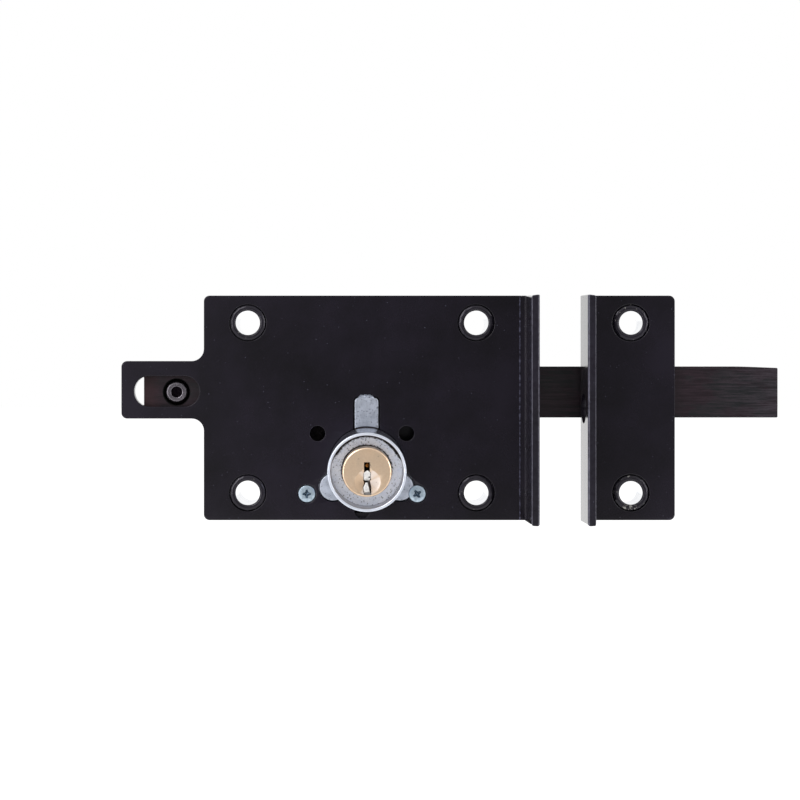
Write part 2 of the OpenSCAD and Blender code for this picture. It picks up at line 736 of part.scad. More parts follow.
module lock_bar() {
    edge = 0.8;
    x0 = -bar_tail;
    x1 = bar_l - bar_tail;
    color(bar_black) difference() {
        along_y(bar_y0, bar_y1) polygon([[x0, bar_bottom + edge], [x0 + edge, bar_bottom],
            [x1 - edge, bar_bottom], [x1, bar_bottom + edge],
            [x1, bar_top - edge], [x1 - edge, bar_top], [x0 + edge, bar_top], [x0, bar_top - edge]]);
        along_y(rack_y0, bar_y1 + over) for (k = [-2:rack_gaps])
            rack_gap(idler_x + (k + 0.5) * pitch_l);
        rod_y(bar_screw_x, bar_z, bar_y0 - over, bar_y0 + cap_head_h + 0.2, cap_seat_d / 2);
        rod_y(bar_screw_x, bar_z, bar_y0, bar_y1 + over, cap_d / 2 + 3 * seat_gap);
    }
}

module knob_screw() {
    head_y = bar_y0 + 0.2;
    grip = knob_tap_l - 0.5;
    color(bar_black) difference() {
        union() {
            cone_y(bar_screw_x, bar_z, head_y, cap_head_d / 2 - 0.4, head_y + 0.4, cap_head_d / 2);
            rod_y(bar_screw_x, bar_z, head_y + 0.4, head_y + cap_head_h, cap_head_d / 2);
            rod_y(bar_screw_x, bar_z, head_y + cap_head_h, bar_y1 + washer_t + grip, cap_d / 2);
        }
        translate([bar_screw_x, head_y - over, bar_z]) rotate([-90, 0, 0])
            cylinder(h = cap_head_h * 0.6 + over, d = cap_socket / cos(30), $fn = 6);
    }
}

module knob_washer() {
    color(steel) tube_y(bar_screw_x, bar_z, bar_y1, bar_y1 + washer_t, cap_d / 2 + 3 * seat_gap,
        washer_d / 2);
}

// Turned ball knob: foot, neck and a ball with a small flat at its end
module pull_knob() {
    y0 = bar_y1 + washer_t;
    foot_h = 1.5;
    foot_r = knob_neck_d / 2 + 1;
    flat_r = 2.6;
    ball_r = knob_d / 2;
    ball_h = knob_l - sqrt(ball_r * ball_r - flat_r * flat_r);
    start = asin(knob_neck_d / 2 / ball_r);
    end = 180 - asin(flat_r / ball_r);
    arcs = 20;
    ball = [for (i = [0:arcs]) let (a = start + (end - start) * i / arcs)
        [ball_r * sin(a), ball_h - ball_r * cos(a)]];
    tap_r = cap_d / 2 + seat_gap;
    color(bar_black) translate([bar_screw_x, y0, bar_z]) rotate([-90, 0, 0])
        rotate_extrude($fn = 96)
            polygon(concat([[0, knob_tap_l], [tap_r, knob_tap_l], [tap_r, 0], [foot_r, 0],
                [foot_r, foot_h], [knob_neck_d / 2, foot_h]], ball, [[0, knob_l]]));
}

// Folded staple that holds the bar against the plate, from x0 to x1
module bar_guide(x0, x1) {
    guide_l = x1 - x0;
    web_y = bar_y1 + bar_gap;
    color(plate_black) translate([x0, 0, 0]) {
        difference() {
            translate([0, plate_t, guide_low])
                cube([guide_l, web_y + guide_t - plate_t, guide_top - guide_low]);
            translate([-over, plate_t - over, bar_bottom - bar_gap])
                cube([guide_l + 2 * over, web_y - plate_t + over, bar_h + 2 * bar_gap]);
        }
        for (z = [guide_low - guide_foot, guide_top])
            translate([0, plate_t, z]) cube([guide_l, guide_t, guide_foot]);
    }
}

module tail_guide() {
    bar_guide(tail_guide_x, -pillar_side);
}

module nose_guide() {
    bar_guide(pillar_side, nose_guide_x);
}

module friction_spring() {
    bow_z = bar_top + bow_rest + bow_r;
    color(steel) {
        along_y(bow_y0, bow_y0 + bow_w) intersection() {
            difference() {
                translate([bow_x, bow_z]) circle(bow_r, $fn = 256);
                translate([bow_x, bow_z]) circle(bow_r - strip_t, $fn = 256);
            }
            translate([bow_x - bow_span / 2, bar_top])
                square([bow_span, bow_sag + 2 * strip_t + 1]);
        }
        for (x = post_xs) tube_y(x, post_z, bow_y0, bow_y0 + bow_w, eye_r, eye_r + strip_t);
    }
}

module spring_posts() {
    color(steel) for (x = post_xs) rod_y(x, post_z, bow_y0 - 0.3, case_back, post_d / 2);
}

module keep_plate() {
    x0 = keep_x + plate_t + fold_r;
    color(plate_black) difference() {
        union() {
            along_y(0, plate_t) {
                translate([x0, -half_h]) square([keep_l / 3, plate_h]);
                round_rect(x0 + 1, -half_h, keep_x + keep_l, half_h, corner_r);
            }
            translate([keep_x, 0, 0]) fold_and_flange();
        }
        for (s = keep_fixings) pillar_hole(s[0], s[1], 0, plate_t);
        translate([keep_x - over, -keep_hole_y, 0]) rotate([0, 90, 0])
            cylinder(h = plate_t + 2 * over, d = keep_hole_d, $fn = round_fn);
    }
}

module keep_cover() {
    color(plate_black) sheet_box(keep_x0, keep_x1, keep_back, keep_fixings);
}

module keep_pillars() {
    color(plate_black) for (s = keep_fixings) pillar(s[0], s[1], keep_back);
}

back_plate();
case_cover();
mounting_pillars();
cylinder_body();
cylinder_ring();
plug();
key_pins();
driver_pins();
pin_springs();
plug_clip();
cylinder_screws();
clutch_dog();
clutch_spring();
drive_gear();
gear_bush();
idler_gear();
idler_pin();
idler_clip();
lock_bar();
knob_screw();
knob_washer();
pull_knob();
tail_guide();
nose_guide();
friction_spring();
spring_posts();
keep_plate();
keep_cover();
keep_pillars();
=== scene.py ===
"""Looks of a surface-mounted rim lock with a sliding bar and its keep.

Every new piece is a surface worked out with numpy in millimetres and stored in metres, in the
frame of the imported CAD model. Two kinds of surface make nearly all of them:
an outline in a plane, carried through a thickness with rounded edges (slab), and a profile
carried round an axis (turned).
"""

from functools import partial

import bmesh
import bpy
import numpy as np
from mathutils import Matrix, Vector
from mathutils.geometry import delaunay_2d_cdt


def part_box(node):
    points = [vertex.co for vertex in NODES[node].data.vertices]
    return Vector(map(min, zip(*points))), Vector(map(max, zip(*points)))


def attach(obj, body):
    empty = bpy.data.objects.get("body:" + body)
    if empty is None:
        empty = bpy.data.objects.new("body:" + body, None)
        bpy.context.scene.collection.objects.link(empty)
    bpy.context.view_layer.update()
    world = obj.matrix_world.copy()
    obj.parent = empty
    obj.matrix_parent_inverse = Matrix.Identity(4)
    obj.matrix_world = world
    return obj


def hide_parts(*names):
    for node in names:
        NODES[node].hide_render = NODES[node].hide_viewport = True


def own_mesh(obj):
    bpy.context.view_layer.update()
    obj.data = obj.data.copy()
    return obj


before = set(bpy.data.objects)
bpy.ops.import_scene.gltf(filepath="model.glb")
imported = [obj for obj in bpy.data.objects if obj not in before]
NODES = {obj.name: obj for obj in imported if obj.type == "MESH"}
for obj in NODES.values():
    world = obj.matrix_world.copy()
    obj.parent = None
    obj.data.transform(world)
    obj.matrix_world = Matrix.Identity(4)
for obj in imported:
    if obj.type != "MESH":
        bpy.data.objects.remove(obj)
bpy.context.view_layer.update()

# Sizes in mm. Most are the CAD model's. Some edges of the plates, the slot, the lowest hole and the
# bar's tail lie up to 0.3 mm away from the CAD model's, where the photograph has them
HALF_H = 35.0
PLATE_T = 2.5
PLATE_LEFT = 49.3
FLANGE_X = 53.48
FLANGE_D = 15.0
FOLD_R = 1.5
FLAT_END = FLANGE_X - PLATE_T - FOLD_R
TAB_X0 = -75.0
TAB_Z0 = -3.35
TAB_Z1 = 14.6
CORNER_R = 1.8
TAB_FILLET = 3.8
SLOT = (-71.05, 0.35, -50.6, 9.95)
SLOT_R = 4.76
LOCK_FIXINGS = [(-35.6, -26.5), (-35.6, 26.5), (35.6, -26.5), (35.6, 26.5)]
KEEP_FIXINGS = [(83.8, -26.5), (83.8, 26.5)]
SPARE_HOLES = [(-13.85, -8.0), (13.85, -8.0), (0.0, -32.1)]
SCREWS = [(-17.2, -26.8), (17.2, -26.8)]
FIX_BORE_R = 3.85
SEAT_R = 5.75
PILLAR_R = 4.95
SHOULDER_R = 6.0
CASE_BACK = 16.5
CASE_T = 1.5
CASE_X0 = -48.6
CASE_X1 = 48.8
CASE_H = 34.5
KEEP_X = 67.9
KEEP_L = 29.6
KEEP_BACK = 10.6
KEEP_BOX_X0 = 72.6
KEEP_BOX_X1 = 97.0
KEEP_EDGE_HOLE_Y = -6.9
KEEP_EDGE_HOLE_R = 4.5
CYL_X = 1.4
CYL_Z = -17.7
CYL = np.array([CYL_X, CYL_Z])
RING_R = 11.6
RING_BORE_R = 10.65
RING_FRONT = -26.9
FACE_Y = -19.3
BASE_PROUD = 0.5
BODY_BACK = 4.7
PLUG_HEAD_R = 7.25
PLUG_R = 6.6
BAR_X0 = -68.4
BAR_X1 = 130.4
BAR_Z0 = -3.15
BAR_Z1 = 12.85
BAR_Y0 = 2.8
BAR_Y1 = 8.8
RACK_Y0 = 5.2
BAR_SCREW = (-58.2, 4.85)
IDLER_X = -20.3726
IDLER_Z = -12.025
SPRING_POSTS = [(-14.0, 17.89), (22.0, 17.89)]
POST_HOLE_R = 2.05
IDLER_HOLE_R = 3.9
BUSH_HOLE_R = 6.55
SPARE_HOLE_R = 2.375
SCREW_HOLE_R = 2.78
SCREW_END = 5.1
GEAR_MODULE = 1.25

# Sizes of the surfaces alone: the radius inside a fold, the tongue's top and the place of the plug's
# dish, both from the cylinder's axis, and the keyway's depth
CREASE_R = 0.3
TONGUE_TOP = 20.8
DISH_X = 0.25
DISH_Z = -2.9
KEY_DEPTH = 14.0

# Edges that turn by more degrees than this stay sharp
SHARP = 35


# Outlines


def circle(x, z, r, count=96):
    """Points (x + r cos a, z + r sin a), with a once round."""
    a = np.linspace(0, 2 * np.pi, count, endpoint=False)
    return np.column_stack([x + r * np.cos(a), z + r * np.sin(a)])


def rounded(corners, radii, count=9):
    """Polygon whose corners are arcs: each arc starts and ends r tan(turn / 2) from its corner. Points
    are complex here, x + i z, so that a turn is a product."""
    p = (np.asarray(corners, float) @ (1, 1j))[:, None]
    r = np.broadcast_to(radii, len(p))[:, None]
    back = np.roll(p, 1, axis=0) - p
    on = np.roll(p, -1, axis=0) - p
    back /= abs(back)
    on /= abs(on)
    turn = np.pi - abs(np.angle(on / back))
    mid = back + on
    mid /= np.maximum(abs(mid), 1e-9)
    way = np.sign((on * np.conj(-1j * mid)).real)
    share = np.linspace(-0.5, 0.5, count)
    arcs = p + mid * r / np.cos(turn / 2) - r * mid * np.exp(1j * share * turn * way)
    points = np.where(r > 0, arcs, p).ravel()
    points = points[abs(points - np.roll(points, 1)) > 1e-6]
    return np.column_stack([points.real, points.imag])


def box_loop(x0, z0, x1, z1, r=0.0):
    """Rectangle with corners of radius r."""
    return rounded([(x0, z0), (x1, z0), (x1, z1), (x0, z1)], r)


def area_of(loop):
    """Signed area, half the sum of the cross products of neighbouring points."""
    x, z = loop.T
    return 0.5 * np.sum(x * np.roll(z, -1) - np.roll(x, -1) * z)


def moved_in(loop):
    """Step of each point for an offset of 1 to the left: the sum of its two edges' normals, over 1 plus
    the cosine between them."""
    on = np.roll(loop, -1, axis=0) - loop
    on /= np.linalg.norm(on, axis=1)[:, None]
    back = np.roll(on, 1, axis=0)
    n1 = np.column_stack([-back[:, 1], back[:, 0]])
    n2 = np.column_stack([-on[:, 1], on[:, 0]])
    return (n1 + n2) / np.maximum(1 + (n1 * n2).sum(1), 0.3)[:, None]


def inside(points, loops):
    """Even-odd test: True where a ray towards +x crosses the loops an odd number of times."""
    odd = np.zeros(len(points), bool)
    px, pz = points.T[:, :, None]
    for loop in loops:
        ax, az = loop.T
        bx, bz = np.roll(loop, -1, axis=0).T
        spans = (az > pz) != (bz > pz)
        rise = np.where(bz == az, 1e-12, bz - az)
        cross_x = ax + (pz - az) * (bx - ax) / rise
        odd ^= (spans & (px < cross_x)).sum(1) % 2 == 1
    return odd


def filled(loops, extra=()):
    """Delaunay triangles between the loops, with extra points inside. Returns points and triangles."""
    edges = []
    start = 0
    for loop in loops:
        index = np.arange(len(loop))
        edges.append(np.column_stack([index, np.roll(index, -1)]) + start)
        start += len(loop)
    points = np.vstack([*loops, *extra])
    made = delaunay_2d_cdt([Vector(p) for p in points], np.vstack(edges).tolist(), [], 0, 1e-7)
    flat = np.array([tuple(v) for v in made[0]])
    faces = np.array(made[2])
    return flat, faces[inside(flat[faces].mean(1), loops)]


# Surfaces

PLANES = {"xz": (0, 2, 1), "xy": (0, 1, 2), "yz": (1, 2, 0)}


def placed(flat, depth, plane):
    """Points of a plane and their depth along its normal, as x, y, z."""
    out = np.zeros((len(flat), 3))
    out[:, PLANES[plane]] = np.column_stack([flat, np.broadcast_to(depth, len(flat))])
    return out


def strip_faces(rows, count):
    """Quads of a grid of closed rows."""
    i, k = np.meshgrid(np.arange(rows - 1), np.arange(count), indexing="ij")
    a = (i * count + k).ravel()
    b = (i * count + (k + 1) % count).ravel()
    return np.column_stack([a, b, b + count, a + count])


def slab(loops, d0, d1, r0=0.3, r1=0.3, plane="xz", steps=4, relief=None, extra=()):
    """Outline with holes carried from depth d0 to d1. Each edge is a quarter round: at angle t the loop
    is moved in by r (1 - sin t) and lies r (1 - cos t) from the face. r0 may be one radius for each loop.
    relief(points) sinks the first face."""
    front_r = np.broadcast_to(np.asarray(r0, float), len(loops))
    parts = []
    faces = []
    base = 0
    caps = ([], [])
    t = np.linspace(0, np.pi / 2, steps + 1)
    for number, loop in enumerate(loops):
        # The outline runs to the left and its holes to the right
        loop = loop if (area_of(loop) > 0) == (number == 0) else loop[::-1]
        step = moved_in(loop)
        edge = front_r[number]
        ins = [*edge * (1 - np.sin(t)), *r1 * (1 - np.cos(t))]
        deep = [*d0 + edge * (1 - np.cos(t)), *d1 - r1 * (1 - np.sin(t))]
        rows = np.array([placed(loop + step * i, d, plane) for i, d in zip(ins, deep)])
        caps[0].append(loop + step * ins[0])
        caps[1].append(loop + step * ins[-1])
        parts.append(rows.reshape(-1, 3))
        faces.append(strip_faces(len(rows), len(loop)) + base)
        base += len(parts[-1])
    tris = []
    for cap, depth, top in ((caps[0], d0, True), (caps[1], d1, False)):
        flat, found = filled(cap, extra if top else ())
        sunk = relief(flat) if relief is not None and top else 0.0
        parts.append(placed(flat, depth + sunk, plane))
        tris.append(found + base)
        base += len(flat)
    return np.vstack(parts), faces + tris


def turned(profile, x, z, count=96, wobble=None):
    """Profile of (depth, radius) carried round an axis along Y through (x, z). wobble(depth, radius,
    angle) gives changed depths and radii."""
    angle = np.tile(np.linspace(0, 2 * np.pi, count, endpoint=False), (len(profile), 1))
    depth, radius = np.repeat(np.asarray(profile, float).T[:, :, None], count, axis=2)
    if wobble is not None:
        depth, radius = wobble(depth, radius, angle)
    points = np.stack([x + radius * np.cos(angle), depth, z + radius * np.sin(angle)], axis=2)
    return points.reshape(-1, 3), [strip_faces(len(profile), count)]


def arc(y, r, radius, a0, a1, count=7):
    """Points on a circle about (y, r): y + radius cos a, r + radius sin a, in degrees."""
    a = np.radians(np.linspace(a0, a1, count))
    return np.column_stack([y + radius * np.cos(a), r + radius * np.sin(a)])


def waves(a, seed, count, size):
    """Smooth random function of an angle: a sum of sines of whole numbers of turns with random phases."""
    rng = np.random.default_rng(seed)
    out = np.zeros_like(a)
    for k in range(2, count + 2):
        out += rng.normal() * np.sin(k * a + rng.uniform(0, 2 * np.pi)) / np.sqrt(count)
    return out * size


def grid(u, v):
    """Points of a flat grid."""
    return np.stack(np.meshgrid(u, v), axis=2).reshape(-1, 2)


# Pieces


def joined(parts):
    """Several surfaces as one."""
    points = []
    faces = []
    base = 0
    for co, groups in parts:
        points.append(co)
        faces += [group + base for group in groups]
        base += len(co)
    return np.vstack(points), faces


def mesh_of(name, surface):
    """Mesh in metres of a surface in mm."""
    points, groups = surface
    mesh = bpy.data.meshes.new(name)
    mesh.from_pydata(points * 0.001, [], [row for group in groups for row in group.tolist()])
    return mesh


def linked(name, data):
    """New object in the scene."""
    obj = bpy.data.objects.new(name, data)
    bpy.context.scene.collection.objects.link(obj)
    return obj


def tidy_mesh(mesh, sharp=SHARP):
    """Joins points that meet, turns the faces outwards and keeps edges over an angle sharp."""
    work = bmesh.new()
    work.from_mesh(mesh)
    bmesh.ops.remove_doubles(work, verts=work.verts, dist=2e-7)
    bmesh.ops.dissolve_degenerate(work, edges=work.edges, dist=1e-7)
    bmesh.ops.recalc_face_normals(work, faces=work.faces)
    work.to_mesh(mesh)
    work.free()
    mesh.shade_smooth()
    mesh.set_sharp_from_angle(angle=np.radians(sharp))


def piece(name, parts, finishes, slots=None, *, node, body="root", flat=False, sharp=SHARP):
    """One object from surfaces, which stands for a CAD node, takes a slot and rides on a body. parts are
    (points, faces) and slots the finish's number of each."""
    mesh = mesh_of(name, joined(parts))
    slots = slots or [0] * len(parts)
    which = [np.full(len(group), index) for index, part in zip(slots, parts) for group in part[1]]
    mesh.polygons.foreach_set("material_index", np.concatenate(which).astype(np.int32))
    for finish in finishes:
        mesh.materials.append(finish)
    obj = linked(name, mesh)
    tidy_mesh(mesh, sharp)
    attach(obj, body)
    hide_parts(*node)
    if not flat:
        weigh = obj.modifiers.new("weighted normals", "WEIGHTED_NORMAL")
        weigh.keep_sharp = True
        weigh.weight = 50
    return obj


def carve(obj, cutters):
    """Takes the cutters' surfaces out of a piece and keeps the result as its mesh."""
    for cutter in cutters:
        mesh = mesh_of("cutter", cutter)
        tidy_mesh(mesh)
        tool = linked("cutter", mesh)
        cut = obj.modifiers.new("cut", "BOOLEAN")
        cut.operation = "DIFFERENCE"
        cut.solver = "EXACT"
        cut.object = tool
        bpy.context.view_layer.update()
        graph = bpy.context.evaluated_depsgraph_get()
        carved = bpy.data.meshes.new_from_object(obj.evaluated_get(graph))
        obj.modifiers.remove(cut)
        obj.data = carved
        bpy.data.objects.remove(tool)
    tidy_mesh(obj.data)


# Materials

NOISE = "ShaderNodeTexNoise"
CELLS = "ShaderNodeTexVoronoi"
RANGE = "ShaderNodeMapRange"
MIX = "ShaderNodeMix"
VECTOR = "ShaderNodeVectorMath"
MATH = "ShaderNodeMath"
PLUS = "ShaderNodeMath ADD"
MINUS = "ShaderNodeMath SUBTRACT"
TIMES = "ShaderNodeMath MULTIPLY"
LARGER = "ShaderNodeMath MAXIMUM"
SPLIT = "ShaderNodeSeparateXYZ"
BUMP = "ShaderNodeBump"
# A Mix node in its colour form takes a share and two colours at sockets 0, 6 and 7
RGBA = {"out": 2, "data_type": "RGBA"}


def colour(code):
    """sRGB hex to linear: c / 12.92 up to 0.04045, then ((c + 0.055) / 1.055) to the power 2.4."""
    c = np.array([int(code[i : i + 2], 16) for i in (1, 3, 5)]) / 255
    linear = np.where(c <= 0.04045, c / 12.92, ((c + 0.055) / 1.055) ** 2.4)
    return (*linear.tolist(), 1.0)


def wire(node, sockets):
    """Sets a node's sockets: an output given for one is linked to it and anything else is its value, or
    the hex code of its colour. From and To each stand for a pair of sockets, Min and Max."""
    for key, value in sockets.items():
        if isinstance(value, str):
            node.inputs[key].default_value = colour(value)
        elif key in ("From", "To"):
            wire(node, {key + " Min": value[0], key + " Max": value[1]})
        elif isinstance(value, bpy.types.NodeSocket):
            node.id_data.links.new(value, node.inputs[key])
        else:
            node.inputs[key].default_value = value


def add_node(tree, kind, sockets=None, out=0, **settings):
    """Adds a node with its settings and sockets, and gives one of its outputs. Its operation may follow
    its kind."""
    kind, *operation = kind.split()
    made = tree.nodes.new(kind)
    for value in operation:
        made.operation = value
    for key, value in settings.items():
        setattr(made, key, value)
    wire(made, sockets or {})
    return made.outputs[out] if len(made.outputs) else made


def bare_tree(owner):
    """Empties the node tree of a new material or world, and gives the function that adds to it."""
    owner.use_nodes = True
    owner.node_tree.nodes.clear()
    return partial(add_node, owner.node_tree)


def material(name):
    """New node material, with the function that adds to it, its shader and its object coordinates."""
    made = bpy.data.materials.new(name)
    add = bare_tree(made)
    shader = add("ShaderNodeBsdfPrincipled")
    add("ShaderNodeOutputMaterial", {"Surface": shader})
    return made, add, shader.node, add("ShaderNodeTexCoord", out="Object")


def layer(add, value, span, under, over, most=1.0):
    """Lays one colour over another as a value goes through a span, up to a share of most. Gives the
    share and the colour."""
    share = add(RANGE, {"Value": value, "From": span, "To": (0.0, most)})
    return share, add(MIX, {0: share, 6: under, 7: over}, **RGBA)


def away(add, place, x, z, stretch=(1, 0, 1)):
    """Vector from the point x, z in mm, stretched, and its length."""
    off = add(VECTOR, {0: place, 1: (x / 1000, 0, z / 1000)}, operation="SUBTRACT")
    off = add(VECTOR, {0: off, 1: stretch}, operation="MULTIPLY")
    return off, add(VECTOR, {0: off}, "Value", operation="LENGTH")


def powder_coat(name, dark, light, bare=0.0, rubbed=None, fold_x=None, rough=0.22, clear=1.0):
    """Black powder coat, stoved on steel: smooth, with an orange peel 1 to 2 mm across, cloudy colour and
    specks of dust. fold_x is where a fold's painted highlight line runs, bare how much steel shows where a
    tube was peened after coating, rubbed the place where a bolt rubbed it off, and clear its share of gloss."""
    made, add, shader, place = material(name)
    clouds = add(NOISE, {"Vector": place, "Scale": 1000 / 30, "Detail": 5.0, "Roughness": 0.6})
    _, base = layer(add, clouds, (0.36, 0.64), dark, light)
    # Dust is about 0.1 mm across, drawn 0.3 mm across so that it shows
    cells = add(CELLS, {"Vector": place, "Scale": 1000 / 1.7})
    dots = add(RANGE, {"Value": cells, "From": (0.12, 0.05)})
    patches = add(NOISE, {"Vector": place, "Scale": 1000 / 3, "Detail": 1.0})
    few = add(RANGE, {"Value": patches, "From": (0.5, 0.62)})
    specks = add(TIMES, {0: dots, 1: few})
    base = add(MIX, {0: specks, 6: base, 7: "#464654"}, **RGBA)
    # A flange's tip is painted paler, most of all on its two rounded edges: painted highlights there, on a
    # coat that is also worn thin
    peel = add(NOISE, {"Vector": place, "Scale": 1000 / 1.4, "Detail": 3.0, "Roughness": 0.6})
    depth = add(SPLIT, {"Vector": place}, 1)
    tip = add(RANGE, {"Value": depth, "From": (-0.0143, -0.0147)})
    face = add(RANGE, {"Value": depth, "From": (-0.01488, -0.01498), "To": (0.0, 0.92)})
    edge = add(MINUS, {0: tip, 1: face})
    worn = add(RANGE, {"Value": peel, "From": (0.35, 0.6), "To": (0.45, 1.0)})
    edge = add(TIMES, {0: edge, 1: worn})
    base = add(MIX, {0: edge, 6: base, 7: "#62616f"}, **RGBA)
    if fold_x is not None:
        base = fold_painted_highlight(add, place, base, fold_x)
    if bare:
        chips = add(NOISE, {"Vector": place, "Scale": 1000 / 1.5, "Detail": 4.0, "Roughness": 0.65})
        if rubbed:
            _, near = away(add, place, *rubbed, (0.55, 1, 1))
            near = add(RANGE, {"Value": near, "From": (0.0017, 0.0009), "To": (0.0, 0.14)})
            chips = add(PLUS, {0: chips, 1: near})
        chips, base = layer(add, chips, (0.63 - bare, 0.68 - bare), base, "#8a8884")
        wire(shader, {"Metallic": add(TIMES, {0: chips, 1: 0.9})})
    height = add(BUMP, {"Height": peel, "Strength": 0.5, "Distance": 0.00001})
    wire(shader, {"Base Color": base, "Normal": height, "Roughness": rough, "IOR": 1.28})
    wire(shader, {"Specular Tint": (0.9, 0.84, 1.0, 1.0), "Coat Weight": clear})
    wire(shader, {"Coat Roughness": 0.16, "Coat IOR": 1.22})
    return made


def fold_painted_highlight(add, place, base, fold_x):
    """Colour of the coat by a fold: a broken light line, 0.1 to 0.6 mm wide, a painted highlight where the
    bend starts, and a paler band with dots on the bend beyond it, painted light on the bend."""
    along = add(SPLIT, {"Vector": place})
    off = add(MINUS, {0: along, 1: fold_x / 1000})
    far = add(MATH, {0: off}, operation="ABSOLUTE")
    ragged = add(NOISE, {"Vector": place, "Scale": 1000 / 1.7, "Detail": 3.0, "Roughness": 0.75})
    width = add(RANGE, {"Value": ragged, "From": (0.36, 0.62), "To": (-0.0001, 0.00024)})
    near = add(MINUS, {0: width, 1: far})
    painted_highlight_line = add(RANGE, {"Value": near, "From": (-0.00012, 0.00012)})
    front = add(RANGE, {"Value": along.node.outputs[1], "From": (0.0004, 0.0)})
    painted_highlight_line = add(TIMES, {0: painted_highlight_line, 1: front})
    # Paler band with dots on the bend: painted light
    bend = add(RANGE, {"Value": off, "From": (0.0, 0.0006), "To": (0.0, 0.03)})
    dots = add(RANGE, {"Value": ragged, "From": (0.35, 0.65), "To": (0.45, 1.0)})
    bend = add(TIMES, {0: bend, 1: dots})
    inner = add(RANGE, {"Value": off, "From": (0.0027, 0.0022)})
    bend = add(TIMES, {0: bend, 1: inner})
    base = add(MIX, {0: bend, 6: base, 7: "#2d2c38"}, **RGBA)
    return add(MIX, {0: painted_highlight_line, 6: base, 7: "#5c5c70"}, **RGBA)


def drawn_bar_steel():
    """Cold-drawn flat steel, oil-blacked: hair-fine streaks left by the die, 0.1 mm apart and drawn
    0.35 mm apart, in brown-black with a purple and a grey-green haze, redder at the cut tail."""
    made, add, shader, place = material("oil_blacked_drawn_steel")
    long = add("ShaderNodeMapping", {"Vector": place, "Scale": (1 / 18, 1, 1)})
    streaks = add(NOISE, {"Vector": long, "Scale": 1000 / 0.5, "Detail": 6.0, "Roughness": 0.8})
    wide = add("ShaderNodeMapping", {"Vector": place, "Scale": (1 / 2.2, 1, 1)})
    haze = add(NOISE, {"Vector": wide, "Scale": 1000 / 6, "Detail": 5.0, "Roughness": 0.65})
    along = add(SPLIT, {"Vector": place})
    green = add(RANGE, {"Value": along, "From": (0.1, 0.125), "To": (-0.04, 0.07)})
    haze = add(PLUS, {0: haze, 1: green})
    _, base = layer(add, haze, (0.46, 0.56), "#170b13", "#0f1215")
    lines, base = layer(add, streaks, (0.42, 0.72), base, "#2e2028")
    # The nose is painted paler in its streaks: a painted highlight on the bar's end, where the keep also
    # rubs it
    rubbed = add(RANGE, {"Value": along, "From": (0.106, 0.13), "To": (0.0, 0.5)})
    rubbed = add(TIMES, {0: rubbed, 1: lines})
    base = add(MIX, {0: rubbed, 6: base, 7: "#4e4c54"}, **RGBA)
    _, base = layer(add, along, (-0.0625, -0.068), base, "#33191c", 0.6)
    # Round the screw, out to 4.45 mm from its axis, the bar is painted nearly black and fully matt
    _, reach = away(add, place, *BAR_SCREW)
    seat, base = layer(add, reach, (0.00445, 0.0043), base, "#070608")
    rough = add(RANGE, {"Value": streaks, "From": (0.3, 0.75), "To": (0.3, 0.5)})
    rough = add(LARGER, {0: rough, 1: seat})
    height = add(BUMP, {"Height": streaks, "Strength": 0.4, "Distance": 0.00001})
    wire(shader, {"Base Color": base, "Roughness": rough, "Normal": height, "IOR": 1.32})
    return made


def metal_skin(add, shader, base, grain, rough, height, strength, distance):
    """Ends a bare metal: its colour, a roughness that follows its grain, and a bump."""
    rough = add(RANGE, {"Value": grain, "From": (0.3, 0.7), "To": rough})
    height = add(BUMP, {"Height": height, "Strength": strength, "Distance": distance})
    wire(shader, {"Base Color": base, "Roughness": rough, "Normal": height, "Metallic": 1.0})


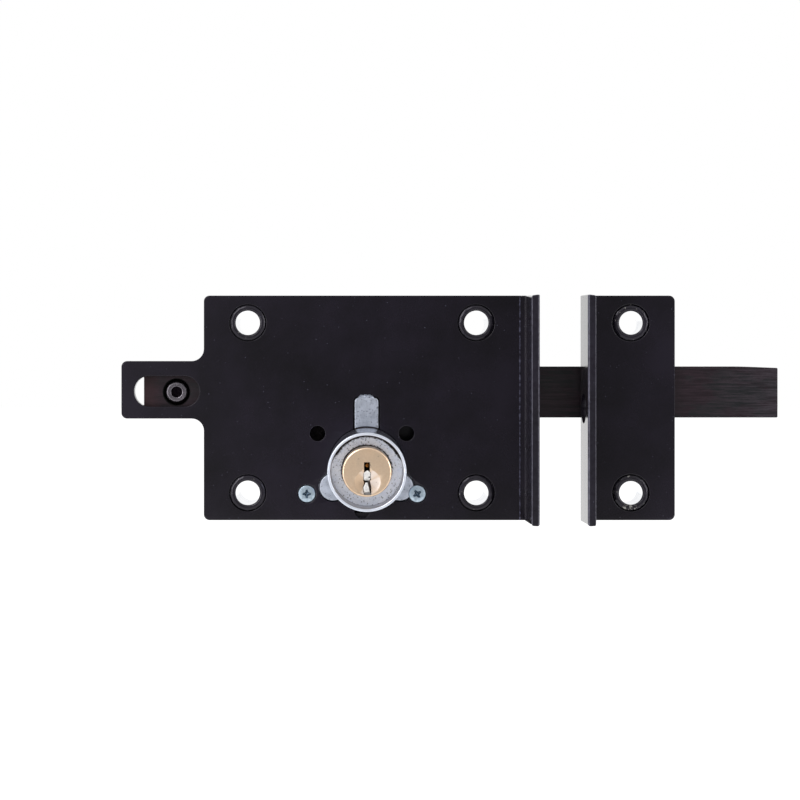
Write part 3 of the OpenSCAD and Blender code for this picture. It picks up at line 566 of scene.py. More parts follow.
def die_cast(name, dark, light, corner=False):
    """Raw die-cast zinc alloy: a grey, slightly rough skin with dark gas pits 0.1 to 0.5 mm across in
    patches, and a dark ring round the sleeve's foot, painted shade in the corner with dirt. corner is the
    face inside the sleeve, with a painted shadow of the sleeve's rim over its upper part and a ragged dark
    edge round the plug."""
    made, add, shader, place = material(name)
    cloud = add(NOISE, {"Vector": place, "Scale": 1000 / 2.4, "Detail": 4.0, "Roughness": 0.6})
    grain = add(NOISE, {"Vector": place, "Scale": 1000 / 0.45, "Detail": 3.0, "Roughness": 0.65})
    _, base = layer(add, cloud, (0.38, 0.62), dark, light)
    _, base = layer(add, grain, (0.54, 0.75), base, "#7e828c", 0.4)
    cells = add(CELLS, {"Vector": place, "Scale": 1000 / 0.72})
    uneven = add(PLUS, {0: cells, 1: grain})
    flat, reach = away(add, place, *CYL)
    if corner:
        # Painted shadow of the sleeve's rim, reaching farther in on the upper side
        height = add(SPLIT, {"Vector": flat}, 2)
        upper = add(RANGE, {"Value": height, "From": (-0.001, 0.005), "To": (-0.002, 0.00022)})
        shift = add(RANGE, {"Value": grain, "From": (0.3, 0.7), "To": (-0.0004, 0.0004)})
        rim = add(PLUS, {0: reach, 1: shift})
        outer = add(PLUS, {0: rim, 1: upper})
        shade_and_dirt = add(RANGE, {"Value": outer, "From": (0.0098, 0.0101)})
        gap = add(RANGE, {"Value": rim, "From": (0.0077, 0.00745)})
        shade_and_dirt = add(LARGER, {0: shade_and_dirt, 1: gap})
    else:
        # Pits crowd along the sides of the tongue
        along = add(SPLIT, {"Vector": place})
        tongue = add(RANGE, {"Value": along.node.outputs[2], "From": (-0.009, -0.008)})
        aside = add(MINUS, {0: along, 1: CYL_X / 1000})
        aside = add(MATH, {0: aside}, operation="ABSOLUTE")
        aside = add(RANGE, {"Value": aside, "From": (0.0029, 0.0034), "To": (0.0, 0.14)})
        aside = add(TIMES, {0: aside, 1: tongue})
        uneven = add(MINUS, {0: uneven, 1: aside})
        # Dark ring round the sleeve's foot: painted shade in the corner, with dirt
        shade_and_dirt = add(RANGE, {"Value": reach, "From": (0.01212, 0.01192)})
    pits = add(RANGE, {"Value": uneven, "From": (0.77, 0.69)})
    where = add(NOISE, {"Vector": place, "Scale": 1000 / 2.6})
    where = add(RANGE, {"Value": where, "From": (0.42, 0.47), "To": (0.0, 0.62)})
    pits = add(TIMES, {0: pits, 1: where})
    pits = add(LARGER, {0: pits, 1: shade_and_dirt})
    base = add(MIX, {0: pits, 6: base, 7: "#2c2728"}, **RGBA)
    depth = add(MATH, {0: pits, 1: -2.5, 2: grain}, operation="MULTIPLY_ADD")
    metal_skin(add, shader, base, grain, (0.4, 0.58), depth, 0.6, 0.00003)
    return made


def turned_brass():
    """Free-cutting brass, faced on a lathe, with tool rings 0.1 mm apart, drawn 0.35 mm apart so that
    they show. The dish round the keyway is painted paler, in streaks that run out from its middle and
    grow lighter to the right: painted highlights of the turned cone."""
    made, add, shader, place = material("turned_brass")
    _, reach = away(add, place, *CYL)
    turns = add(TIMES, {0: reach, 1: 2 * np.pi / 0.00035})
    rings = add(MATH, {0: turns}, operation="SINE")
    stain = add(NOISE, {"Vector": place, "Scale": 1000 / 1.8, "Detail": 4.0, "Roughness": 0.6})
    _, base = layer(add, stain, (0.35, 0.68), "#e4ccb2", "#d4b89c")
    _, base = layer(add, rings, (-1.0, 1.0), base, "#bfa284", 0.18)
    # Painted highlights: the dish paler in radial streaks, lighter to the right
    off, reach = away(add, place, CYL_X + DISH_X, CYL_Z + DISH_Z)
    aim = add(VECTOR, {0: off}, operation="NORMALIZE")
    painted_highlight_rays = add(NOISE, {"Vector": aim, "Scale": 1.5, "Detail": 3.0})
    side = add(SPLIT, {"Vector": aim})
    painted_highlight_rays = add(MATH, {0: side, 1: 0.12, 2: painted_highlight_rays}, operation="MULTIPLY_ADD")
    _, worn = layer(add, painted_highlight_rays, (0.4, 0.62), "#c4aa90", "#d6c8be")
    _, base = layer(add, reach, (0.00375, 0.00366), base, worn)
    metal_skin(add, shader, base, stain, (0.26, 0.4), rings, 0.25, 0.000002)
    return made


def worked_metal(name, first, second, rough, grain_mm, bump=0.3):
    """A cut or plated metal: two close colours in a fine grain, with the roughness following it."""
    made, add, shader, place = material(name)
    grain = add(NOISE, {"Vector": place, "Scale": 1000 / grain_mm, "Detail": 3.0, "Roughness": 0.6})
    _, base = layer(add, grain, (0.38, 0.62), first, second)
    metal_skin(add, shader, base, grain, (rough, rough + 0.14), grain, bump, 0.000006)
    return made


COAT = powder_coat("black_powder_coat", "#09070c", "#19151f", fold_x=FLAT_END - 0.28)
COAT_PLAIN = powder_coat("black_powder_coat_pressings", "#09070c", "#19151f")
COAT_TORN = powder_coat("black_powder_coat_torn_edge", "#08070b", "#141118", rough=0.9, clear=0.0)
COAT_PEENED = powder_coat("black_powder_coat_peened", "#100d14", "#1d1a24", bare=-0.02)
COAT_CHIPPED = powder_coat("black_powder_coat_chipped", "#100d14", "#1f1c27", -0.005, (83.9, -30.9))
BAR_STEEL = drawn_bar_steel()
# Raw casting: the outside, and the face inside the sleeve, which less light reaches, so that copy is painted
# far paler to make up for the sleeve's shade
ZINC = die_cast("die_cast_zinc", "#9a9faa", "#b0b5c1")
ZINC_FACE_PAINTED_LIGHT = die_cast("die_cast_zinc_face_painted_light", "#e6ebf7", "#f1f4fc", corner=True)
BRASS = turned_brass()
# Bright nickel plate outside the rolled sleeve: mirror-like with faint handling marks
NICKEL = worked_metal("bright_nickel_plate", "#cdd2dd", "#c7ccd8", 0.16, 6.0, 0.02)
# The same plate where the rim was rolled and brushed: soft, broad highlights
NICKEL_RIM = worked_metal("brushed_nickel_rim", "#ced3de", "#c6cbd7", 0.32, 6.0, 0.02)
# Bore of the drawn tubes: masked from the coat and rubbed bright, so that it mirrors what lies behind
TUBE_BORE = worked_metal("bright_drawn_tube_bore", "#f2f3f6", "#e8eaee", 0.04, 3.0, 0.01)
# Black oxide on alloy steel screws: a thin dark skin, so that the steel's gloss still shows
SCREW_BLACK = worked_metal("black_oxide_alloy_steel", "#615d63", "#757177", 0.24, 0.5)
# Hexagon socket painted near black and matt: painted shade inside the socket
SOCKET_SHADE = worked_metal("black_oxide_socket_shade", "#221c22", "#18141a", 0.6, 0.4)
# Zinc plate, blue passivated, on cold-headed screws: pale and bluish
PLATED = worked_metal("blue_passivated_zinc_plate", "#b2c1ce", "#9fafbc", 0.26, 0.7)
# The same plate in the punched cross recess, darker and matt: painted shade in the recess, with some dirt
PLATED_RECESS_SHADE_AND_DIRT = worked_metal("zinc_plate_recess_shade_and_dirt", "#8495a4", "#64727f", 0.36, 0.3)
# Nickel silver, milled and rubbed bright by keys
NICKEL_SILVER = worked_metal("milled_nickel_silver", "#e2e0de", "#c2c0be", 0.3, 0.9)
# Brass deep in the keyway, painted dark brown
DARK_BRASS = worked_metal("dark_brass_keyway", "#6e4a26", "#452c14", 0.5, 0.7)
# The first pin's rubbed end
PIN_BRASS = worked_metal("worn_pin_brass", "#a06c34", "#7c5226", 0.4, 0.5)
# Gears painted near black and matt: painted shade inside the case, where the spare holes show them
GEAR_STEEL_SHADE = worked_metal("gear_steel_painted_shade", "#1d1b1c", "#141213", 0.5, 0.8)
# Cut steel of the pins and the dog
STEEL = worked_metal("cut_carbon_steel", "#9a9a9c", "#86878a", 0.3, 0.8)
# Sintered bronze bush, full of oil
BRONZE = worked_metal("sintered_bronze", "#a9804c", "#8f6a3d", 0.4, 0.6)
# Spring steel, darkened by tempering
SPRING = worked_metal("tempered_spring_steel", "#77787f", "#5f6069", 0.28, 0.6)
# Stoved black lacquer of the turned knob
KNOB_BLACK = powder_coat("black_stoved_lacquer", "#09080b", "#0f0e13")


# Folded plates


def fold_section(x_face, side):
    """Section of a fold and its flange in X and Y: the bend's outside, the tip's outer and inner edge,
    the crease, and the start of the bend. side is 1 for a flange on the right, -1 on the left."""
    outer_r = PLATE_T + FOLD_R
    out_r = 0.75
    in_r = 0.4
    section = [
        arc(-outer_r, -FOLD_R, outer_r, 90, 0, 13),
        arc(-out_r, out_r - FLANGE_D, out_r, 0, -90, 8),
        arc(in_r - PLATE_T, in_r - FLANGE_D, in_r, -90, -180, 8),
        arc(-PLATE_T - CREASE_R, -CREASE_R, CREASE_R, 0, 90, 13),
        [(-outer_r, 0.0)],
    ]
    return np.vstack(section) * (side, 1) + (x_face, 0)


def make_fold(x_face, side):
    """Section of the fold carried up the plate, with dressed ends: the top drops by 0.35 mm towards the
    tip, where its inner corner is taken off, and the tip's bottom corners are rounded off by 0.7 mm."""
    points, faces = slab([fold_section(x_face, side)], -HALF_H, HALF_H, 0.12, 0.3, plane="xy")
    top = np.clip((points[:, 2] - HALF_H + 0.8) / 0.4, 0, 1)
    tip = np.clip(-points[:, 1] / FLANGE_D, 0, 1)
    inner = np.clip((side * (x_face - points[:, 0]) - PLATE_T + 0.9) / 0.9, 0, 1) * (tip > 0.11)
    points[:, 2] -= top * (0.35 * tip + 0.6 * inner**2)
    low = np.clip((0.5 - HALF_H - points[:, 2]) / 0.4, 0, 1) * np.clip((tip - 0.1) / 0.15, 0, 1)
    middle = np.abs(side * (x_face - points[:, 0]) - PLATE_T / 2)
    corner = np.clip((middle - 0.5) / 0.75, 0, 1)
    points[:, 2] += low * 0.7 * (1 - np.sqrt(1 - corner**2))
    return points, faces


def torn_skin():
    """Rough skin inside the lock's flange at its lower end, where the shears tore the sheet: a layer up
    to 0.25 mm proud, lowered by two crossed sines of its place."""
    x_in = FLANGE_X - PLATE_T
    loop = np.array([(-1.0, -34.96), (-14.3, -34.4), (-14.3, -33.0), (-1.0, -34.6)])
    spread = grid(np.linspace(-14.1, -1.2, 60), np.linspace(-34.9, -33.1, 12))
    spread = spread[inside(spread, [loop])]

    def relief(p):
        return 0.12 + 0.11 * np.sin(p[:, 0] * 5.3 + p[:, 1] * 2.1) * np.cos(p[:, 1] * 6.7 - p[:, 0])

    return slab([loop], x_in - 0.25, x_in + 0.3, 0.02, 0.02, plane="yz", relief=relief, extra=spread)


def make_lock_plate():
    """Flat of the lock's plate with its holes, and the fold with its flange."""
    left = [(-PLATE_LEFT, HALF_H), (-PLATE_LEFT, TAB_Z1), (TAB_X0, TAB_Z1)]
    left += [(TAB_X0, TAB_Z0), (-PLATE_LEFT, TAB_Z0), (-PLATE_LEFT, -HALF_H)]
    corners = [0, 0, CORNER_R, TAB_FILLET, CORNER_R, CORNER_R, TAB_FILLET, CORNER_R]
    outer = rounded([(FLAT_END, -HALF_H), (FLAT_END, HALF_H)] + left, corners)
    loops = [outer, box_loop(*SLOT, SLOT_R), base_outline(0.4, 2.9)]
    edges = [0.16, 0.2, 0.14]
    for places, radius, count, edge in (
        (LOCK_FIXINGS, SEAT_R, 64, 0.22),
        (SPARE_HOLES, SPARE_HOLE_R, 40, 0.22),
        (SCREWS, SCREW_HOLE_R, 48, 0.42),
    ):
        loops += [circle(x, z, radius, count) for x, z in places]
        edges += [edge] * len(places)
    parts = [slab(loops, 0, PLATE_T, edges, 0.2), make_fold(FLANGE_X, 1), torn_skin()]
    piece("lock_plate", parts, [COAT, COAT_TORN], [0, 0, 1], node=["back_plate"])


def make_keep_plate():
    """Flat of the keep with its holes, and its fold and flange with one hole."""
    x0 = KEEP_X + PLATE_T + FOLD_R
    x1 = KEEP_X + KEEP_L
    outer = rounded([(x0, -HALF_H), (x1, -HALF_H), (x1, HALF_H), (x0, HALF_H)], [0, CORNER_R, CORNER_R, 0])
    loops = [outer] + [circle(x, z, SEAT_R, 64) for x, z in KEEP_FIXINGS]
    parts = [slab(loops, 0, PLATE_T, [0.16, 0.3, 0.3], 0.2), make_fold(KEEP_X, -1)]
    obj = piece("keep_plate_folded", parts, [COAT_PLAIN], node=["keep_plate"])
    hole = circle(KEEP_EDGE_HOLE_Y, 0, KEEP_EDGE_HOLE_R, 64)
    carve(obj, [slab([hole], KEEP_X - 2, KEEP_X + PLATE_T + 2, 0, 0, plane="yz")])


def ray_to_circle(off, far, r, side):
    """Length of a ray to a circle whose centre lies at a distance far and an angle off it:
    far cos(off) + side sqrt(r^2 - (far sin(off))^2)."""
    return far * np.cos(off) + side * np.sqrt(np.maximum(r**2 - (far * np.sin(off)) ** 2, 0))


def base_outline(grow, notch):
    """Outline of the casting's base, as the farthest reach of a ray at each angle: the disc, the lobes
    with their webs, or the tongue with its round corners. It stops short of the screws by notch."""
    tiny = 1e-6
    a = np.linspace(0, 2 * np.pi, 720, endpoint=False) + 0.0007
    disc_r = 11.3 + grow
    lobe_r = 4.2 + grow
    lobe_x = 10.4
    lobe_z = -6.95
    reach = np.full_like(a, disc_r)
    for dx, dz in ((-lobe_x, lobe_z), (lobe_x, lobe_z)):
        far = np.hypot(dx, dz)
        off = a - np.arctan2(dz, dx)
        ahead = np.cos(off) > 0
        aside = np.abs(np.sin(off))
        hit = np.maximum(reach, ray_to_circle(off, far, lobe_r, 1))
        reach = np.where(ahead & (far * aside < lobe_r), hit, reach)
        web = np.minimum(0.8 * lobe_r / np.maximum(aside, tiny), far / np.maximum(np.cos(off), tiny))
        reach = np.where(ahead, np.maximum(reach, web), reach)
    across = np.abs(np.cos(a))
    up = np.sin(a)
    half = 3.7 + grow
    top = TONGUE_TOP + grow
    curve = 1.15 + grow
    tongue = np.minimum(half / np.maximum(across, tiny), top / np.maximum(up, tiny))
    off = np.arctan2(up, across) - np.arctan2(top - curve, half - curve)
    bend = ray_to_circle(off, np.hypot(half - curve, top - curve), curve, 1)
    in_corner = (tongue * across > half - curve) & (tongue * up > top - curve)
    tongue = np.where(in_corner, np.minimum(tongue, bend), tongue)
    reach = np.where(up > 0, np.maximum(reach, tongue), reach)
    for x, z in SCREWS:
        far = np.hypot(x - CYL_X, z - CYL_Z)
        off = a - np.arctan2(z - CYL_Z, x - CYL_X)
        near = np.minimum(reach, ray_to_circle(off, far, notch, -1))
        reach = np.where((np.cos(off) > 0) & (np.abs(far * np.sin(off)) < notch), near, reach)
    return CYL + np.column_stack([reach * np.cos(a), reach * np.sin(a)])


# Tube pillars


def pillar(x, z, back, seed, rough, lip):
    """Tube with a shoulder between the sheets and a peened bead in each seat, as its outside and its
    bore. The bead's crest wanders round the hole and leans in over the bore by lip, and rough dents its
    outer edge with the marks of the peening tool."""
    bead = [(0.6, 0.0), (0.25, 0.04), (0.06, 0.16), (-0.1, 0.4), (-0.17, 0.75), (-0.12, 1.05)]
    bead += [(0.0, 1.3), (0.1, 1.55), (0.3, 1.72)]
    front = [(d, FIX_BORE_R + r) for d, r in bead] + [(0.75, PILLAR_R)]
    rear = [(back - d, r) for d, r in front[::-1]]
    middle = [(PLATE_T, PILLAR_R), (PLATE_T, SHOULDER_R)]
    middle += [(back - CASE_T, SHOULDER_R), (back - CASE_T, PILLAR_R)]
    profile = front + middle + rear + front[:1]

    def wobble(depth, radius, angle):
        share = np.clip((radius - FIX_BORE_R) / 0.5, 0, 1) * (radius < FIX_BORE_R + 1.8)
        outer = np.clip((radius - FIX_BORE_R - 0.9) / 0.5, 0, 1)
        hits = np.abs(np.sin(6.5 * angle + seed + waves(angle, seed + 3, 5, 0.5))) * rough
        near = np.minimum(np.abs(depth), np.abs(back - depth)) < 0.5
        sign = np.where(depth < back / 2, 1, -1) * near
        crest = waves(angle, seed, 6, 0.07) + waves(angle, seed + 5, 16, 0.03) * rough
        depth = depth + sign * share * (0.16 * hits * outer + crest * (1 - 0.5 * outer))
        radius = radius - near * outer * (0.24 * hits + 0.04)
        radius = radius + near * share * (1 - outer) * waves(angle, seed + 9, 4, 0.08)
        radius = radius - near * (depth < back / 2) * (1 - share) * lip
        return depth, radius

    return [turned(rows, x, z, 144, wobble) for rows in (profile[:-2], profile[-3:])]


# Lock cylinder


def make_ring():
    """Rolled sleeve: a thin wall whose front edge is round, with a small nick at its right. Its rim and
    the inside before the face are brushed, and its outside is bright."""
    rim = 0.46
    inner = [(FACE_Y + 0.2, RING_BORE_R), (RING_FRONT + rim + 0.1, RING_BORE_R)]
    roll = [
        arc(RING_FRONT + rim, RING_BORE_R + rim, rim, 270, 180, 10),
        arc(RING_FRONT + rim, RING_R - rim, rim, 180, 90, 10),
    ]
    front = np.vstack([inner] + roll)
    wall = [(-20.0, RING_R), (-10.0, RING_R), (-BASE_PROUD, RING_R), (-BASE_PROUD, RING_BORE_R)]
    wall = np.vstack([front[-1:], wall, front[:1]])

    def wobble(depth, radius, angle):
        front = np.exp(-(((depth - RING_FRONT) / 1.2) ** 2))
        nick = np.exp(-(((angle - np.radians(5)) / 0.035) ** 2))
        return depth + front * 0.35 * nick, radius + waves(angle, 3, 5, 0.012) * front

    parts = [turned(rows, *CYL, 256, wobble) for rows in (front, wall)]
    finishes = [NICKEL_RIM, NICKEL]
    piece("sleeve", parts, finishes, [0, 1], node=["cylinder_ring"], flat=True)


def make_casting():
    """Barrel, base with lobes and tongue, and the flange behind the plate, with a torn casting gate."""
    hole = PLUG_R + 0.05
    skin = RING_BORE_R - 0.06
    flange_r = 11.9
    ear_start = 10.8
    ear_in = 3.6
    ear_out = 3.9
    ear_r = 3.8
    y = FACE_Y - 0.02
    face = [(FACE_Y + 0.25, hole), (FACE_Y + 0.05, PLUG_HEAD_R + 0.02), (y, PLUG_HEAD_R + 0.5), (y, 9.0)]
    face += [(y, skin), (FACE_Y + 0.2, skin)]
    barrel = [face[-1], (BODY_BACK, skin), (BODY_BACK, hole), face[0]]
    bore = circle(*CYL, RING_BORE_R - 0.1)
    parts = [
        turned(face, *CYL, 120),
        turned(barrel, *CYL, 120),
        slab([base_outline(0, 2.68), bore], -BASE_PROUD, PLATE_T, [0.3, 0.1], 0.1),
        slab([circle(*CYL, flange_r), bore], PLATE_T, BODY_BACK, 0.1, 0.4),
        torn_gate(),
    ]
    for screw in SCREWS:
        way = screw - CYL
        far = np.linalg.norm(way)
        way /= far
        side = np.array([-way[1], way[0]])
        start = CYL + way * ear_start
        end = CYL + way * (far + 4)
        corners = [start - side * ear_in, end - side * ear_out]
        corners += [end + side * ear_out, start + side * ear_in]
        ear = rounded(corners, [0.5, ear_r, ear_r, 0.5])
        parts.append(slab([ear], PLATE_T + 0.02, BODY_BACK - 0.02, 0.1, 0.4))
    slots = [1] + [0] * (len(parts) - 1)
    piece("die_cast_body", parts, [ZINC, ZINC_FACE_PAINTED_LIGHT], slots, node=["cylinder_body"])


def torn_gate():
    """Thin torn flash above the tongue, where the casting was broken off its runner: its upper edge is a
    bell of height 1.4 mm, cut down at each point by a random share."""
    rng = np.random.default_rng(11)
    x = np.linspace(-2.9, 2.6, 40)
    height = 1.4 * np.exp(-(((x + 0.15) / 2.4) ** 6)) * (0.6 + 0.4 * rng.random(len(x))) + 0.08
    foot = 0.12 * rng.random(len(x))
    top = np.column_stack([x, 20.6 + height])
    low = np.column_stack([x, 20.1 + foot])
    loop = np.vstack([low, top[::-1]]) + CYL

    def relief(p):
        rough = np.sin(p[:, 0] * 9.1) * np.cos(p[:, 1] * 7.3 + p[:, 0] * 3.1)
        return 0.16 * rough + 0.14 + 0.16 * np.clip((p[:, 1] - CYL_Z - TONGUE_TOP) / 1.2, 0, 1)

    spread = grid(np.linspace(-2.4, 2.4, 24), np.linspace(20.3, 22.0, 9))
    spread = spread + rng.uniform(-0.06, 0.06, spread.shape) + CYL
    spread = spread[inside(spread, [loop])]
    return slab([loop], -0.45, -0.02, 0.02, 0.02, relief=relief, extra=spread, steps=1)


# Keyway's outline, from its top left corner round by the right
KEYWAY = [(-0.85, 2.9), (0.85, 2.9), (0.85, 0.2), (1.15, -0.2), (1.15, -2.2), (0.75, -2.7), (1.25, -4.2)]
KEYWAY += [(1.3, -6.6), (-0.85, -6.6), (-1.25, -4.4), (-0.75, -3.3), (-1.05, -2.2), (-1.05, -0.4)]
KEYWAY = np.array(KEYWAY + [(-0.85, 0.0)])


def make_plug():
    """Brass plug: a faced head with a chamfer, a dished lead-in and its keyway."""
    edge = 0.45
    dish_r = 3.7
    dish_deep = 0.9
    dish_at = CYL + (DISH_X, DISH_Z)
    # Points along the keyway's edge, about 0.3 mm apart, so that the dish bends them
    key = []
    for p, q in zip(KEYWAY, np.roll(KEYWAY, -1, axis=0)):
        count = max(int(np.ceil(np.linalg.norm(q - p) / 0.3)), 1)
        key.append(p + (q - p) * np.linspace(0, 1, count, endpoint=False)[:, None])
    key = np.vstack(key) + CYL

    def dish(p):
        """Depth of a cone with a round bottom: full at the middle and none at the dish's rim."""
        out = np.linalg.norm(p - dish_at, axis=1) / dish_r
        return dish_deep * np.clip(1 - out, 0, 1) ** 0.8

    sizes = [(0.6, 16), (1.3, 28), (2.0, 40), (2.7, 52), (3.3, 60), (3.66, 72), (3.74, 72)]
    rings = [circle(*dish_at, r, n) for r, n in sizes]
    extra = np.vstack(rings + [circle(*CYL, 5.0, 60), circle(*CYL, 6.0, 72)])
    rim = circle(*CYL, PLUG_HEAD_R - edge)
    flat, tris = filled([rim, key], extra[inside(extra, [rim, key])])
    face = (placed(flat, RING_FRONT + dish(flat), "xz"), [tris])
    head = [(0, edge), (0.1, 0.24), (0.25, 0.08), (edge, 0)]
    side = [(RING_FRONT + d, PLUG_HEAD_R - r) for d, r in head]
    side += [(FACE_Y - 0.05, PLUG_HEAD_R), (FACE_Y - 0.05, PLUG_R), (4.55, PLUG_R), (4.55, 3.5)]
    side = turned(side + [(10.3, 3.5), (10.3, 0.0)], *CYL)
    # Keyway's walls, which start on the dish and run in, and its floor
    depths = (0.0, 0.5, 2.0, 6.0, KEY_DEPTH)
    walls = np.vstack([placed(key, RING_FRONT + dish(key) * (d == 0) + d, "xz") for d in depths])
    mouth = (walls[: 2 * len(key)], [strip_faces(2, len(key))])
    deep = (walls[len(key) :], [strip_faces(len(depths) - 1, len(key))])
    flat_key, key_tris = filled([key])
    floor = (placed(flat_key, RING_FRONT + KEY_DEPTH, "xz"), [key_tris])
    parts = [face, side, mouth, deep, floor] + wards()
    finishes = [BRASS, NICKEL_SILVER, DARK_BRASS, PIN_BRASS, STEEL]
    slots = [0, 0, 0, 2, 2, 4, 1, 4, 1, 3]
    piece("brass_plug", parts, finishes, slots, node=["plug"], body="plug", sharp=25)


def wards():
    """The faces inside the keyway: its foot's end, a block with a pit under its top, a leaning rib, a
    block below it and the first pin's end. Each row holds the outlines, the face's depth, its edge's
    radius and its slopes in x and z from a point."""
    foot = [(-0.84, -6.15), (1.27, -6.15), (1.29, -6.58), (-0.84, -6.58)]
    upper = [(-1.02, -0.2), (-0.45, 0.25), (0.25, 0.55), (0.9, 0.1), (1.1, -0.4), (1.1, -2.1)]
    upper += [(0.8, -2.6), (-0.6, -2.5), (-1.0, -2.2)]
    rib = [(0.15, -2.5), (0.75, -2.6), (1.2, -4.6), (1.24, -6.3), (1.0, -6.3), (0.62, -4.4)]
    lower = [(-0.5, -3.2), (0.1, -2.9), (0.6, -4.6), (0.95, -6.1), (-0.8, -6.1), (-1.15, -4.5)]
    rows = [
        ([foot], 0.95, 0.05, (0, 0.5), (0, -6.3)),
        ([upper, circle(0.72, -1.55, 0.2, 14)], 0.75, 0.08, (0.1, -0.22), (0, -1.2)),
        ([rib], 1.3, 0.06, (0.55, 0), (0.9, -4.0)),
        ([lower], 0.75, 0.08, (0.12, -0.24), (0, -4.6)),
        ([circle(0.1, 1.9, 0.66, 24)], 1.6, 0.2, (0.3, 0.2), (0.1, 1.9)),
    ]

    def lean(slopes, start, p):
        return (p - CYL - start) @ np.array(slopes)

    made = []
    for outlines, depth, edge, slopes, start in rows:
        loops = [np.array(outline) + CYL for outline in outlines]
        relief = partial(lean, slopes, start)
        made.append(slab(loops, RING_FRONT + depth, RING_FRONT + 4, edge, 0.05, relief=relief))
    return made


# Screws


def countersunk_screw(x, z, turn):
    """Countersunk head with a cross recess, and its shank. The recess's outline is scaled down to 0.78,
    0.5 and 0.12 of its size at 0.35, 0.8 and 1.15 mm deep."""
    head_r = 2.6
    top_y = -0.02
    reach = 1.36
    tip = 0.3
    root = 0.52
    arm = np.array([(reach, -tip), (reach, tip), (root, root)])
    turns = turn + np.arange(4) * np.pi / 2
    cross = np.vstack([arm @ np.array([[np.cos(t), np.sin(t)], [-np.sin(t), np.cos(t)]]) for t in turns])
    cross = rounded(cross, [0.16, 0.16, 0.12] * 4, 4)
    centre = np.array([x, z])
    flat, tris = filled([circle(x, z, head_r - 0.16), cross + centre])
    top = (placed(flat, top_y, "xz"), [tris])
    sizes = ((0.0, 1.0), (0.1, 0.95), (0.35, 0.78), (0.8, 0.5), (1.15, 0.12))
    rows = np.vstack([placed(cross * s + centre, d + top_y, "xz") for d, s in sizes])
    recess = (rows, [strip_faces(len(sizes), len(cross))])
    bottom, bottom_tris = filled([cross * sizes[-1][1] + centre])
    floor = (placed(bottom, sizes[-1][0] + top_y, "xz"), [bottom_tris])
    side = [(top_y, head_r - 0.16), (0.03, head_r - 0.06), (0.14, head_r), (0.24, head_r - 0.05)]
    side += [(1.1, 1.5), (SCREW_END, 1.5), (SCREW_END, 0.0)]
    return [top, turned(side, x, z), recess, floor]


def make_cap_screw():
    """Socket head cap screw: a ringed face between two chamfers, a side knurled in 36 waves and a hexagon
    socket. The rows are (y, radius)."""
    y0 = BAR_Y0 + 0.2
    side_r = 3.46
    flat_r = 1.5
    socket = [(2.6, 0.0), (2.35, flat_r), (0.3, flat_r), (0.1, 1.78)]
    head = [(0.1, 1.78), (0.02, 1.92), (0.0, 2.02), (0.16, 2.16), (0.17, 2.44), (0.0, 2.52), (0.0, 2.86)]
    head += [(0.05, 2.98), (0.34, 3.32), (0.62, side_r), (1.0, side_r), (3.9, side_r)]
    head += [(3.9, 2.0), (15.6, 2.0), (15.6, 0.0)]

    def shape(depth, radius, angle):
        hexagon = flat_r / np.cos((angle + np.pi / 6) % (np.pi / 3) - np.pi / 6)
        knurl = 0.09 * (radius == side_r) * np.sin(angle * 36)
        return depth + y0, np.where(radius == flat_r, hexagon, radius) + knurl

    parts = [turned(rows, *BAR_SCREW, 192, shape) for rows in (socket, head)]
    finishes = [SOCKET_SHADE, SCREW_BLACK]
    piece("cap_screw", parts, finishes, [0, 1], node=["knob_screw"], body="bar")


# Bar


def make_bar():
    """Flat bar with the rack's gaps cut in the rear half of its lower edge, and the screw's seat."""
    worn = 0.42
    seat_r = 4.15
    seat_deep = 4.2
    hole_r = 2.15
    nose = [(BAR_X1, BAR_Z1 - worn), (BAR_X1 - 9.5, BAR_Z1 - 0.05), (BAR_X1 - 12.0, BAR_Z1)]
    ends = [(BAR_X0, BAR_Z0), (BAR_X1, BAR_Z0)] + nose + [(BAR_X0, BAR_Z1)]
    outline = rounded(ends, [0.35, 0.35, 0.35, 0, 0, 0.35], 5)
    blank = slab([outline], BAR_Y0, BAR_Y1, 0.16, 0.12)
    obj = piece("flat_bar", [blank], [BAR_STEEL], node=["lock_bar"], body="bar")
    seat = slab([circle(*BAR_SCREW, seat_r, 72)], BAR_Y0 - 1, BAR_Y0 + seat_deep, 0, 0)
    hole = slab([circle(*BAR_SCREW, hole_r, 40)], BAR_Y0 + 1, BAR_Y1 + 1, 0, 0)
    gaps = joined([slab([gap], RACK_Y0, BAR_Y1 + 1, 0, 0) for gap in rack_gaps()])
    carve(obj, [gaps, seat, hole])


def rack_gaps():
    """Gaps of the rack from left to right: trapezoids, one pitch of pi x module apart."""
    pitch = np.pi * GEAR_MODULE
    half = (pitch + 0.2) / 4
    lean = np.tan(np.radians(20))
    pitch_z = BAR_Z0 + 0.9 * GEAR_MODULE
    deep = 1.15 * GEAR_MODULE
    below = 0.5
    mouth = half + lean * (pitch_z - BAR_Z0 + below)
    root = half - lean * deep
    x = IDLER_X + (np.arange(-2, 22) + 0.5) * pitch
    across = np.array([-mouth, mouth, root, -root])
    up = np.array([BAR_Z0 - below, BAR_Z0 - below, pitch_z + deep, pitch_z + deep])
    return np.stack([x[:, None] + across, np.broadcast_to(up, (len(x), 4))], axis=2)


